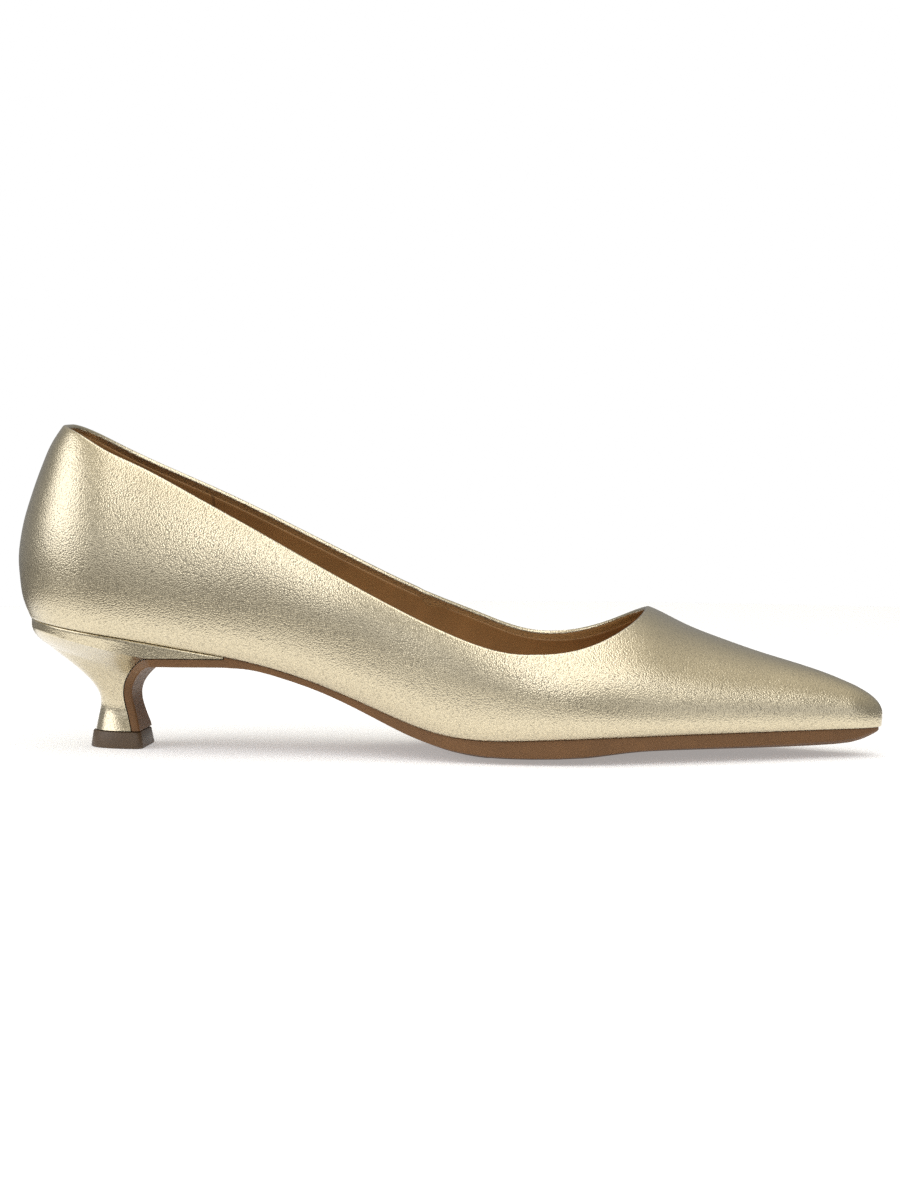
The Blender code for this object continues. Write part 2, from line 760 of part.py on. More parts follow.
def tip_ring(back, front, half, height):
    """Outline of the top piece: round at the back, a flat front with rounded corners."""
    ring = []
    flank = front - TIP_CORNER
    for k in range(TIP_STEPS + 1):
        angle = math.pi * (k / TIP_STEPS - 0.5)
        x = flank - (flank - back) * math.cos(angle) ** (2 / ROUND_POWER)
        y = math.copysign(half * abs(math.sin(angle)) ** (2 / ROUND_POWER), angle)
        ring.append(Vector((x, y, height)))
    for side, turns in ((1, (30, 60, 90)), (-1, (90, 60, 30))):
        for turn in turns:
            angle = math.radians(turn)
            x = flank + TIP_CORNER * math.sin(angle)
            y = side * (half - TIP_CORNER * (1 - math.cos(angle)))
            ring.append(Vector((x, y, height)))
    return ring


def heel_tip_mesh():
    """Top piece: it widens a little towards the floor, where its edge is broken."""
    back, front, half = TIP_BACK_X, TIP_BACK_X + TIP_LENGTH, TIP_WIDTH / 2
    cut = TIP_CHAMFER
    rings = [
        tip_ring(back + cut, front - cut, half - cut, 0.0),
        tip_ring(back, front, half, cut),
        tip_ring(back + TIP_DRAFT, front - TIP_DRAFT, half - TIP_DRAFT, TIP_HEIGHT),
    ]
    return loft(rings, close_first=True, close_last=True)


def main():
    for item in list(bpy.data.objects):
        bpy.data.objects.remove(item, do_unlink=True)
    middle = bpy.data.objects.new("shoe_middle", None)
    middle.location = (-LENGTH / 2, 0.0, 0.0)
    bpy.context.collection.objects.link(middle)

    gold = material("gold_leather", (0.62, 0.52, 0.34), 0.34, 0.75)
    sock = material("tan_sock", (0.30, 0.13, 0.05), 0.60)
    brown = material("brown_sole", (0.19, 0.095, 0.045), 0.55)
    dark = material("dark_top_piece", (0.11, 0.075, 0.05), 0.60)

    add_piece("outsole", outsole_mesh(), brown, middle)
    add_piece("insole", insole_mesh(), sock, middle)
    add_piece("upper", upper_mesh(), gold, middle, sharp_angle=50.0)
    add_piece("heel", heel_mesh(), gold, middle)
    add_piece("heel_tip", heel_tip_mesh(), dark, middle)


main()
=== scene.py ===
"""Kitten heel pump in pale gold leather: the looks of one pointed court shoe for the right foot.

The skin of the shoe comes from the sections of its last, x along the foot from the back of the heel,
-y the outer side, z up from the floor. Every finished point is then moved by half the length, into
the frame of the solids.
"""
import math

import bmesh
import bpy
import numpy as np
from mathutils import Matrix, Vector


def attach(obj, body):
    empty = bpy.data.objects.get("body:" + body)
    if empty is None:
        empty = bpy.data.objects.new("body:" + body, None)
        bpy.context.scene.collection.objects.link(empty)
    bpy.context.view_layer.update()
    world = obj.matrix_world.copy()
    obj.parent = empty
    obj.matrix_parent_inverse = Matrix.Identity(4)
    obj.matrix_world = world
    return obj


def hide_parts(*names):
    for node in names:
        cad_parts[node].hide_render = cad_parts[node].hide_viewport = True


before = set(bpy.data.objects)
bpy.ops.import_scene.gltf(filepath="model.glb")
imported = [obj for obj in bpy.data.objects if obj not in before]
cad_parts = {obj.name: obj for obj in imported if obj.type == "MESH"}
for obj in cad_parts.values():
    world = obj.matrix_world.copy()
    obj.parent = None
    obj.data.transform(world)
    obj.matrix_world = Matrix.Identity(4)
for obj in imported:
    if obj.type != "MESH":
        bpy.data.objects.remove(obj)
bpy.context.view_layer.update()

bl_info = {
    "name": "Kitten Heel Pump",
    "version": (1, 0, 0),
    "blender": (4, 5, 0),
    "location": "3D View > Sidebar > Pump",
    "description": "Builds a pointed kitten heel pump in gold leather",
    "category": "Add Mesh",
}

# Driving sizes of the last, in metres
LENGTH = 0.265
BALL_WIDTH = 0.076
HEEL_HEIGHT = 0.0405
BACK_HEIGHT = 0.0594
INSTEP_HEIGHT = 0.0442
VAMP_LENGTH = 0.0708
TOE_SPRING = 0.002
HEEL_ROUND = 0.034
NOSE_ROUND = 0.010
NOSE_TUCK = 0.0003
NOSE_TUCK_HEIGHT = 0.0030
BACK_CURVE_REACH = 0.062
LOW_LATERAL = 0.0334
LOW_MEDIAL = 0.0346
THROAT_ARC = 0.033
WALL = 0.0020
INSOLE_THICKNESS = 0.0020
SOLE_EDGE = 0.0049
SHANK_SOLE = 0.0027
GAP = 0.0003
EDGE_LIFT = 0.0021
SOLE_CROWN = 0.0027
SOLE_INSET = 0.0008
SOLE_ROUND = 0.0007
BREAST_X = 0.0336
WAIST_BACK_X = 0.0250
WING_TIP_X = 0.0682
WING_ROOT_X = 0.0455
WING_EDGE = 0.0005
HEEL_INSET = 0.0004
SEAT_BAND = 0.0022
TIP_HEIGHT = 0.0052
TIP_WIDTH = 0.0200
TIP_LENGTH = 0.0179
TIP_BACK_X = 0.0219
TIP_CORNER = 0.0022
TIP_CHAMFER = 0.0005
TIP_DRAFT = 0.0008

SIDES = (-1, 1)
MIDDLE = Vector((-LENGTH / 2, 0.0, 0.0))

# Feather line. along: share of LENGTH; lateral, medial: half widths as shares of BALL_WIDTH;
# climb: share of the rise from the ball to the heel seat; spring: share of TOE_SPRING.
FEATHER = (
    (0.000, 0.362, 0.355, 1.000, 0.00),
    (0.075, 0.362, 0.355, 0.926, 0.00),
    (0.151, 0.362, 0.355, 0.842, 0.00),
    (0.208, 0.360, 0.340, 0.768, 0.00),
    (0.283, 0.344, 0.296, 0.655, 0.00),
    (0.358, 0.336, 0.255, 0.480, 0.00),
    (0.434, 0.366, 0.262, 0.242, 0.00),
    (0.509, 0.440, 0.345, 0.045, 0.03),
    (0.585, 0.494, 0.447, 0.000, 0.15),
    (0.642, 0.500, 0.498, 0.000, 0.45),
    (0.698, 0.467, 0.500, 0.000, 0.70),
    (0.755, 0.401, 0.462, 0.000, 0.85),
    (0.811, 0.322, 0.388, 0.000, 0.92),
    (0.868, 0.238, 0.297, 0.000, 0.96),
    (0.925, 0.153, 0.201, 0.000, 1.00),
    (0.966, 0.092, 0.133, 0.000, 1.00),
    (1.000, 0.047, 0.090, 0.000, 1.00),
)

# Skin over the last. along: share of LENGTH; over_lateral, over_medial: how far the widest line
# stands out, of BALL_WIDTH; belly: its height as a share of feather to crown; crown: top of the
# section, of INSTEP_HEIGHT; shift: the crown's place towards the medial side, of BALL_WIDTH;
# fullness: how upright the wall stays over the belly, 2 for an ellipse.
SKIN = (
    (0.000, 0.044, 0.044, 0.310, 2.620, 0.000, 2.00),
    (0.151, 0.046, 0.052, 0.245, 2.260, 0.010, 2.00),
    (0.302, 0.052, 0.090, 0.310, 1.890, 0.030, 2.10),
    (0.377, 0.052, 0.105, 0.315, 1.660, 0.045, 2.30),
    (0.453, 0.048, 0.098, 0.290, 1.430, 0.060, 2.60),
    (0.566, 0.038, 0.055, 0.250, 1.160, 0.078, 2.60),
    (0.660, 0.034, 0.036, 0.200, 1.058, 0.082, 2.15),
    (0.732, 0.032, 0.032, 0.170, 1.000, 0.080, 2.00),
    (0.770, 0.030, 0.030, 0.172, 0.893, 0.070, 2.00),
    (0.815, 0.026, 0.026, 0.190, 0.788, 0.060, 2.00),
    (0.860, 0.022, 0.022, 0.215, 0.698, 0.050, 2.00),
    (0.906, 0.018, 0.018, 0.240, 0.618, 0.040, 2.00),
    (0.951, 0.013, 0.013, 0.270, 0.525, 0.030, 2.00),
    (0.974, 0.012, 0.012, 0.290, 0.472, 0.024, 2.00),
    (1.000, 0.010, 0.010, 0.330, 0.445, 0.020, 2.00),
)

# Topline in side view. along: share of LENGTH; lateral, medial: shares of the rise from that side's
# low point to the top of the back. The last row mirrors the one before the low point, so that the
# line runs level there.
TOPLINE = (
    (0.056, 1.000, 1.000),
    (0.078, 0.972, 0.952),
    (0.113, 0.899, 0.877),
    (0.151, 0.830, 0.805),
    (0.226, 0.678, 0.671),
    (0.302, 0.516, 0.522),
    (0.377, 0.352, 0.370),
    (0.453, 0.197, 0.218),
    (0.528, 0.069, 0.086),
    (0.570, 0.017, 0.020),
    (0.608, 0.000, 0.000),
    (0.646, 0.017, 0.020),
)

# Back of the upper in side view: rise over the seat and lean forward, both shares of BACK_HEIGHT.
BACK = (
    (0.00, 0.058),
    (0.10, 0.020),
    (0.20, 0.006),
    (0.30, 0.000),
    (0.40, 0.011),
    (0.50, 0.032),
    (0.60, 0.063),
    (0.70, 0.098),
    (0.80, 0.137),
    (0.90, 0.183),
    (1.00, 0.252),
)

# Sole's side. along: share of LENGTH; edge: share of SOLE_EDGE; crown: share of SOLE_CROWN.
SOLE = (
    (0.260, 0.71, 0.10),
    (0.283, 0.52, 0.15),
    (0.321, 0.47, 0.20),
    (0.377, 0.50, 0.25),
    (0.426, 0.64, 0.40),
    (0.464, 0.77, 0.70),
    (0.517, 0.86, 0.95),
    (0.555, 0.97, 1.00),
    (0.604, 1.09, 1.00),
    (0.645, 1.15, 1.00),
    (0.672, 1.12, 0.95),
    (0.721, 0.93, 0.85),
    (0.770, 0.87, 0.80),
    (0.860, 0.87, 0.65),
    (0.940, 0.80, 0.50),
    (0.974, 0.62, 0.40),
    (1.000, 0.22, 0.30),
)

# Underside of the sole across its width: share of the width, share of the crown.
UNDERSIDE = (
    (0.00, 0.00),
    (0.10, 0.27),
    (0.18, 0.60),
    (0.27, 1.00),
    (0.50, 1.00),
    (0.73, 1.00),
    (0.82, 0.60),
    (0.90, 0.27),
    (1.00, 0.00),
)

# Front of the heel, from the wings' tip to the top piece. forward: share of the way from the breast
# to the wings' tip; height: share of the height of the wings' underside; spread: half width as a
# share of the width at the wings' root.
BREAST = (
    (1.000, 1.000, 1.000),
    (0.700, 1.000, 1.000),
    (0.520, 1.000, 1.000),
    (0.390, 1.000, 0.980),
    (0.290, 0.985, 0.880),
    (0.180, 0.915, 0.660),
    (0.070, 0.790, 0.430),
    (0.012, 0.660, 0.325),
    (0.000, 0.540, 0.280),
    (0.028, 0.375, 0.265),
    (0.075, 0.184, 0.335),
)

# Back of the heel: share of HEEL_HEIGHT, and how far forward as a share of WAIST_BACK_X.
HEEL_BACK = (
    (0.125, 0.935),
    (0.225, 0.970),
    (0.335, 1.000),
    (0.440, 0.960),
    (0.530, 0.845),
    (0.620, 0.680),
    (0.710, 0.490),
    (0.800, 0.318),
    (0.890, 0.200),
    (0.950, 0.158),
    (1.000, 0.150),
)

# Soft troughs (below 0) and ridges in the leather. side: -1 outer, 1 inner; x and z of
# the middle, turn in degrees from the floor, half length, half width and depth, all in mm.
FOLDS = (
    # side x z turn length width depth
    (-1, 92.0, 58.0, -38.0, 11.0, 2.6, -0.10),
    (-1, 97.0, 56.0, -38.0, 12.0, 2.4, 0.07),
    (-1, 103.0, 52.0, -36.0, 10.0, 2.2, -0.08),
    (-1, 78.0, 62.0, -34.0, 22.0, 7.0, 0.16),
    (-1, 118.0, 34.0, -24.0, 26.0, 6.0, 0.14),
    (-1, 152.0, 22.0, -8.0, 24.0, 5.0, 0.14),
    (-1, 168.0, 27.0, 24.0, 9.0, 3.0, -0.10),
    (-1, 178.0, 26.0, 32.0, 9.0, 3.0, -0.07),
    (1, 100.0, 50.0, -32.0, 14.0, 3.0, -0.10),
    (1, 132.0, 32.0, -22.0, 18.0, 5.0, 0.16),
    (1, 168.0, 27.0, 26.0, 9.0, 3.0, -0.12),
    (1, 178.0, 25.0, 30.0, 9.0, 3.0, 0.08),
)

# Inner side seam of the upper: place along x, lean, step down from the quarter to the vamp, how soft
# the step is, and how far forward the vamp takes to come up again
SIDE_SEAM_X = 0.1170
SIDE_SEAM_LEAN = 0.35
SIDE_SEAM_STEP = 0.0005
SIDE_SEAM_SOFTNESS = 0.0003
SIDE_SEAM_REACH = 0.014

# Seam of the lining: place along x, half width of the line and of the stain that fades out round it
LINING_SEAM_X = 0.0560
LINING_SEAM_LINE = 0.0002
LINING_SEAM_STAIN = 0.0007

# Steps along the last: round the back, along the side, round the throat, along the vamp, round the nose
SKIN_STEPS = (26, 62, 26, 26, 20)
FLOOR_STEPS = (22, 70, 14, 26, 16)

# Steps up the skin, under the belly and over it
UNDER_BELLY = 14
OVER_BELLY = 30

# Stations set closer: distances from the side seam, with none of the others this near to it, and
# places before the throat, as shares of the way to the nose
SEAM_STATIONS = (-0.0016, -0.0009, -0.0004, 0.0, 0.0004, 0.0009, 0.0016)
SEAM_CLEARANCE = 0.002
THROAT_STATIONS = (0.01, 0.025, 0.045, 0.07, 0.1)

# Tries that settle the topline over the leaning back, and the wings' root on the front of the heel
TOPLINE_TRIES = 12
ROOT_TRIES = 40

# Turned edge of the leather: steps round it, steps down the strip inside, the strip's length over
# what shows of it, and inset and drop of the rows tucked in under the feather line
TURN_STEPS = 8
STRIP_STEPS = 4
STRIP_REACH = 1.6
TUCKS = ((0.0002, 0.00008), (0.0008, 0.00015), (0.0030, 0.00018))
LINING_TURN_STEPS = 4

# Sock: steps across, width and depth of its soft edge, and the dip for the foot, which is full where
# the sock is this wide
SOCK_STEPS = 16
SOCK_EDGE_WIDTH = 0.0008
SOCK_EDGE_DEPTH = 0.0007
SOCK_DIP = 0.0006
SOCK_DIP_WIDTH = 0.03

# Sole: steps round an edge and across the underside, largest share of its size that an edge's
# rounding takes, steps under the wings and down the heel, share of the breast line over which its
# direction is taken, and clearance before the wings' tip
SOLE_EDGE_STEPS = 4
SOLE_STEPS = 24
SOLE_ROUND_SHARE = 0.45
RUN_STEPS = 12
BREAST_STEPS = 56
BREAST_REACH = 0.002
WING_CLEARANCE = 0.001

# Heel: steps round it, along a wing, round the rolled edge and down the seat band, inset of the
# seat's first row, thickness at which a wing takes its full roll, and the share of the way down over
# which the seat's outline goes over into the waist's
HEEL_STEPS = 60
WING_STEPS = 18
ROLL_STEPS = 4
BAND_STEPS = 6
SEAT_INSET = 0.0030
FULL_ROLL = 0.0015
SEAT_FADE = 4 / 13

HEEL_ANGLES = [math.pi * (k / HEEL_STEPS - 0.5) for k in range(HEEL_STEPS + 1)]

# Top piece: steps round the back, round a corner and round the lower edge, height of its upper
# rounding, and how much of the rounding and of the draft its two rows take
TIP_STEPS = 40
TIP_CORNER_STEPS = 8
TIP_EDGE_STEPS = 3
TIP_TOP_ROUND = 0.0003
TIP_TOP_SHARE = 0.3
TIP_DRAFT_SHARE = 0.92


class Curve:
    """A smooth line through two columns of a table: a natural cubic spline."""

    def __init__(self, along, values):
        self.along = np.array(along, dtype=float)
        self.values = np.array(values, dtype=float)
        gaps = np.diff(self.along)
        slopes = np.diff(self.values) / gaps
        matrix = np.eye(len(self.along))
        change = np.zeros(len(self.along))
        for i in range(1, len(self.along) - 1):
            matrix[i, i - 1:i + 2] = gaps[i - 1], 2 * (gaps[i - 1] + gaps[i]), gaps[i]
            change[i] = 6 * (slopes[i] - slopes[i - 1])
        self.bend = np.linalg.solve(matrix, change)

    def __call__(self, place):
        place = min(max(place, self.along[0]), self.along[-1])
        i = min(int(np.searchsorted(self.along, place, side="right")), len(self.along) - 1) - 1
        gap = self.along[i + 1] - self.along[i]
        after = (place - self.along[i]) / gap
        before = 1 - after
        line = before * self.values[i] + after * self.values[i + 1]
        pull = (before ** 3 - before) * self.bend[i] + (after ** 3 - after) * self.bend[i + 1]
        return float(line + pull * gap * gap / 6)


def curves(rows):
    """One curve for each column after the first, which says how far along the row lies."""
    columns = list(zip(*rows))
    return [Curve(columns[0], column) for column in columns[1:]]


feather_lateral, feather_medial, climb, spring = curves(FEATHER)
over_lateral, over_medial, belly, crown_share, crown_shift, fullness = curves(SKIN)
topline_lateral, topline_medial = curves(TOPLINE)
back_lean, = curves(BACK)
sole_edge, sole_crown = curves(SOLE)
underside_drop, = curves(UNDERSIDE)
heel_back, = curves(HEEL_BACK)

# Heights of the feather line at the ball and of the top of the back, and the topline's low point
BALL_TOP = EDGE_LIFT + SOLE_EDGE
BACK_TOP = HEEL_HEIGHT + BACK_HEIGHT
TOPLINE_LOW = (LENGTH - VAMP_LENGTH - THROAT_ARC) / LENGTH

# Pulls of the skin's curve from the feather line to the belly: out, up at the edge, up at the belly
TURN_OUT = 0.60
TURN_UP = 0.15
BELLY_PULL = 0.55

# Share of the nose's height that its front wall keeps
NOSE_FRONT = 0.35

# Fullness of the throat's arc on each side, and of the heel and the top piece in plan, 2 for a circle
THROAT_POWERS = {-1: 3.0, 1: 2.3}
ROUND_POWER = 2.3


def feather_height(along):
    """Height over the floor of the line where the upper starts."""
    return BALL_TOP + (HEEL_HEIGHT - BALL_TOP) * climb(along) + TOE_SPRING * spring(along)


def closing(along):
    """Share of the width that is left where the back and the nose close in round arcs."""
    reach = min(1.0, along * LENGTH / HEEL_ROUND, (1 - along) * LENGTH / NOSE_ROUND)
    return math.sqrt(max(0.0, 1 - (1 - reach) ** 2))


def crown_height(along):
    """Height of the section's top; the nose keeps a low front wall."""
    low = feather_height(along)
    high = crown_share(along) * INSTEP_HEIGHT
    nose = min(1.0, (1 - along) * LENGTH / NOSE_ROUND)
    kept = NOSE_FRONT + (1 - NOSE_FRONT) * math.sqrt(max(0.0, 1 - (1 - nose) ** 2))
    return low + (high - low) * kept


def place_x(along, height):
    """Where a station lies along x at a height: the back of the shoe follows its own curve."""
    rise = (height - HEEL_HEIGHT) / BACK_HEIGHT
    fade = max(0.0, 1 - along * LENGTH / BACK_CURVE_REACH) ** 2
    nose = max(0.0, 1 - (1 - along) * LENGTH / NOSE_ROUND) ** 2
    under = max(0.0, 1 - (height - feather_height(along)) / NOSE_TUCK_HEIGHT) ** 2
    return along * LENGTH + back_lean(rise) * BACK_HEIGHT * fade - NOSE_TUCK * nose * under


def side_y(along, side, lateral, medial):
    """Place across, from the half widths of the two sides."""
    middle = (medial - lateral) / 2
    return middle + side * (medial + lateral) / 2 * closing(along)


def feather_point(along, side, inset=0.0, drop=0.0):
    """Point of the feather line, moved inwards in plan by inset and down by drop."""
    def plan(root):
        share = root * root if along < 0.5 else 1 - root * root
        where = side if root >= 0 else -side
        lateral = feather_lateral(share) * BALL_WIDTH
        medial = feather_medial(share) * BALL_WIDTH
        return Vector((place_x(share, feather_height(share)), side_y(share, where, lateral, medial)))

    root = math.sqrt(along if along < 0.5 else 1 - along)
    step = 0.004
    point = plan(root)
    run = plan(root + step) - plan(root - step)
    inward = Vector((run.y, -run.x)) * side * (1 if along < 0.5 else -1)
    point += inward.normalized() * inset
    return Vector((point.x, point.y, feather_height(along) - drop))


def section(along, side):
    """Edge, belly and crown of one side's section: three pairs of y and z."""
    lateral = feather_lateral(along) * BALL_WIDTH
    medial = feather_medial(along) * BALL_WIDTH
    low = feather_height(along)
    high = crown_height(along)
    edge = (side_y(along, side, lateral, medial), low)
    wide_lateral = lateral + over_lateral(along) * BALL_WIDTH
    wide_medial = medial + over_medial(along) * BALL_WIDTH
    widest = (side_y(along, side, wide_lateral, wide_medial), low + belly(along) * (high - low))
    middle = (wide_medial - wide_lateral) / 2
    shifted = crown_shift(along) * BALL_WIDTH
    crown = (middle + (shifted - middle) * closing(along), high)
    return edge, widest, crown


def bezier(share, first, second, third, fourth):
    """Curve from the first value to the fourth, pulled by the two between them."""
    rest = 1 - share
    return (rest ** 3 * first + 3 * rest * rest * share * second
            + 3 * rest * share * share * third + share ** 3 * fourth)


def skin_point(along, corners, girth):
    """Point of the skin over one section. girth: 0 at the feather line, 1 at the belly, 2 on top."""
    edge, widest, crown = corners
    if girth <= 1:
        out = widest[0] - edge[0]
        up = widest[1] - edge[1]
        y = bezier(girth, edge[0], edge[0] + TURN_OUT * out, widest[0], widest[0])
        z = bezier(girth, edge[1], edge[1] + TURN_UP * up, edge[1] + BELLY_PULL * up, widest[1])
    else:
        angle = (girth - 1) * math.pi / 2
        power = 2 / fullness(along)
        y = crown[0] + (widest[0] - crown[0]) * max(0.0, math.cos(angle)) ** power
        z = widest[1] + (crown[1] - widest[1]) * math.sin(angle) ** power
    return Vector((place_x(along, z), y, z))


def topline_height(x, side):
    """Height over the floor of the topline's edge in side view."""
    low = LOW_LATERAL if side < 0 else LOW_MEDIAL
    share = (topline_lateral if side < 0 else topline_medial)(x / LENGTH)
    return low + (BACK_TOP - low) * share - WALL / 2


def throat(drop):
    """Place of the throat for a cut that runs drop below the topline."""
    return (LENGTH - VAMP_LENGTH + drop) / LENGTH


def cut_girth(along, side, corners, drop):
    """How far up the section the skin is cut, for a cut that runs drop below the topline."""
    last = throat(drop)
    if along >= last:
        return 2.0
    low_place = last - THROAT_ARC / LENGTH
    widest, crown = corners[1:]
    height = topline_height(along * LENGTH, side) - drop
    for _ in range(TOPLINE_TRIES):
        x = min(place_x(along, height), TOPLINE_LOW * LENGTH)
        height = topline_height(x, side) - drop
    square = fullness(along) / 2
    angle = math.asin(min(1.0, (height - widest[1]) / (crown[1] - widest[1])) ** square)
    if along > low_place:
        reach = (along - low_place) / (last - low_place)
        power = THROAT_POWERS[side]
        narrowing = (1 - reach ** power) ** (1 / power)
        angle = math.acos(math.cos(angle) * narrowing ** square)
    return 1 + angle * 2 / math.pi


def spread(first, last, count):
    """count even steps from first to last, without first."""
    return [first + (last - first) * (i + 1) / count for i in range(count)]


def stations(drop, steps):
    """Places of the sections along the last: close together where the form turns fast."""
    back_steps, side_steps, arc_steps, vamp_steps, nose_steps = steps
    back = HEEL_ROUND / LENGTH
    nose = 1 - NOSE_ROUND / LENGTH
    last = throat(drop)
    low_place = last - THROAT_ARC / LENGTH
    places = [back * (1 - math.cos(math.pi / 2 * i / back_steps)) for i in range(back_steps + 1)]
    places += spread(back, low_place, side_steps)
    arc = last - low_place
    places += [low_place + arc * math.sin(math.pi / 2 * i / arc_steps) ** (2 / THROAT_POWERS[-1])
               for i in range(1, arc_steps)]
    places.append(last)
    places += [last + (nose - last) * share for share in THROAT_STATIONS]
    places += spread(last + (nose - last) * THROAT_STATIONS[-1], nose, vamp_steps)
    places += [nose + (1 - nose) * math.sin(math.pi / 2 * i / nose_steps)
               for i in range(1, nose_steps + 1)]
    seam = SIDE_SEAM_X / LENGTH
    places = [place for place in places if abs(place - seam) > SEAM_CLEARANCE / LENGTH]
    places += [seam + step / LENGTH for step in SEAM_STATIONS]
    return sorted(places)


class Skin:
    """Grid of points over the last, from the feather line up to a cut below the topline."""

    def __init__(self, drop):
        self.places = stations(drop, SKIN_STEPS)
        self.last = len(self.places) - 1
        self.throat = self.places.index(throat(drop))
        self.top = UNDER_BELLY + OVER_BELLY
        self.mesh = bmesh.new()
        self.verts = {}
        for i, along in enumerate(self.places):
            for side in SIDES:
                corners = section(along, side)
                cut = cut_girth(along, side, corners, drop)
                girths = [j / UNDER_BELLY for j in range(UNDER_BELLY + 1)]
                girths += [1 + (cut - 1) * (j / OVER_BELLY) for j in range(1, OVER_BELLY + 1)]
                for j, girth in enumerate(girths):
                    key = self.key(side, i, j)
                    if key not in self.verts:
                        self.verts[key] = self.mesh.verts.new(skin_point(along, corners, girth))
        for side in SIDES:
            for i in range(self.last):
                for j in range(self.top):
                    corners = [(i, j), (i + 1, j), (i + 1, j + 1), (i, j + 1)]
                    keys = [self.key(side, *corner) for corner in corners]
                    face = [self.verts[key] for key in (keys if side < 0 else keys[::-1])]
                    self.mesh.faces.new(face)
        self.mesh.normal_update()

    def key(self, side, i, j):
        """The two sides share the back line, the nose line and the vamp's ridge."""
        shared = i in (0, self.last) or (j == self.top and i >= self.throat)
        return (1 if shared else side, i, j)

    def top_edge(self):
        """Keys round the opening: forwards on the lateral side, back on the medial one."""
        keys = [self.key(-1, i, self.top) for i in range(self.throat)]
        return keys + [self.key(1, i, self.top) for i in range(self.throat, 0, -1)]

    def low_edge(self):
        """Keys round the feather line."""
        keys = [self.key(-1, i, 0) for i in range(self.last)]
        return keys + [self.key(1, i, 0) for i in range(self.last, 0, -1)]

    def move(self, shift):
        """Moves every point along its normal by what shift says for its place and side."""
        for (side, _, _), vert in self.verts.items():
            vert.co += vert.normal * shift(vert.co, side)
        self.mesh.normal_update()

    def add_rows(self, first, rows):
        """Joins more rows of points to an edge, closed all round."""
        previous = first
        for row in rows:
            made = [self.mesh.verts.new(point) for point in row]
            count = len(made)
            for k in range(count):
                n = (k + 1) % count
                self.mesh.faces.new((previous[k], previous[n], made[n], made[k]))
            previous = made

    def edge_frames(self):
        """For each point of the opening: the vertex, its normal and the way into the opening."""
        edge = [self.verts[key] for key in self.top_edge()]
        frames = []
        for k, vert in enumerate(edge):
            run = edge[(k + 1) % len(edge)].co - edge[k - 1].co
            frames.append((vert, vert.normal.copy(), vert.normal.cross(run).normalized()))
        return frames


def turned_rows(frames, radius, steps):
    """Rows of points half round an edge: inwards with a radius below 0, and otherwise outwards."""
    rows = []
    for step in range(1, steps + 1):
        angle = math.pi * step / steps
        rows.append([vert.co + normal * radius * (1 - math.cos(angle))
                     + onward * abs(radius) * math.sin(angle) for vert, normal, onward in frames])
    return rows


def fold_shift(depth):
    """Height of the soft folds and the side seam, as a function of the place and the side."""
    mm = 0.001
    folds = [(side, x * mm, z * mm, math.cos(math.radians(turn)), math.sin(math.radians(turn)),
              length * mm, width * mm, height * mm * depth)
             for side, x, z, turn, length, width, height in FOLDS]

    def shift(point, side):
        total = 0.0
        for where, x, z, cos, sin, length, width, height in folds:
            if where != side:
                continue
            run = ((point.x - x) * cos + (point.z - z) * sin) / length
            rise = ((point.z - z) * cos - (point.x - x) * sin) / width
            total += height * math.exp(-run * run - rise * rise)
        if side > 0:
            seam = SIDE_SEAM_X + SIDE_SEAM_LEAN * (point.z - LOW_MEDIAL)
            ahead = point.x - seam
            fade = math.exp(-(max(0.0, ahead) / SIDE_SEAM_REACH) ** 2)
            total -= SIDE_SEAM_STEP * fade / (1 + math.exp(-ahead / SIDE_SEAM_SOFTNESS))
        return total

    return shift


def linear(code):
    """Scene-linear colour of an sRGB hex code."""
    parts = [int(code[k:k + 2], 16) / 255 for k in (0, 2, 4)]
    return tuple(c / 12.92 if c <= 0.04045 else ((c + 0.055) / 1.055) ** 2.4 for c in parts)


def add_piece(name, mesh_data, finish, smooth_angle=40.0):
    """Makes the named object from the mesh data, moved to the solids' frame."""
    bmesh.ops.remove_doubles(mesh_data, verts=mesh_data.verts[:], dist=1e-6)
    bmesh.ops.dissolve_degenerate(mesh_data, edges=mesh_data.edges[:], dist=1e-6)
    bmesh.ops.translate(mesh_data, verts=mesh_data.verts[:], vec=MIDDLE)
    mesh = bpy.data.meshes.new(name)
    mesh_data.to_mesh(mesh)
    mesh_data.free()
    mesh.shade_smooth()
    mesh.set_sharp_from_angle(angle=math.radians(smooth_angle))
    mesh.materials.append(finish)
    piece = bpy.data.objects.new(name, mesh)
    bpy.context.scene.collection.objects.link(piece)
    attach(piece, "root")
    return piece


def face_outwards(mesh_data):
    """Turns all faces of a closed form outwards."""
    bmesh.ops.recalc_face_normals(mesh_data, faces=mesh_data.faces[:])
    if mesh_data.calc_volume(signed=True) < 0:
        bmesh.ops.reverse_faces(mesh_data, faces=mesh_data.faces[:])


def loft(rings, close_first=False, close_last=False):
    """Mesh through closed rings of equally many points, with flat ends where asked."""
    made = bmesh.new()
    rows = [[made.verts.new(point) for point in ring] for ring in rings]
    count = len(rows[0])
    for row, after in zip(rows, rows[1:]):
        for k in range(count):
            following = (k + 1) % count
            made.faces.new((row[k], row[following], after[following], after[k]))
    if close_first:
        made.faces.new(rows[0][::-1])
    if close_last:
        made.faces.new(rows[-1])
    face_outwards(made)
    return made


def fill(tree, node, inputs):
    """Sets the inputs of a node; each is either a value or another node's output."""
    for name, value in inputs.items():
        if isinstance(value, bpy.types.NodeSocket):
            tree.links.new(value, node.inputs[name])
        else:
            node.inputs[name].default_value = value


def add_node(tree, kind, inputs=None, **settings):
    """One node with its settings and inputs."""
    node = tree.nodes.new(kind)
    for name, value in settings.items():
        setattr(node, name, value)
    fill(tree, node, inputs or {})
    return node


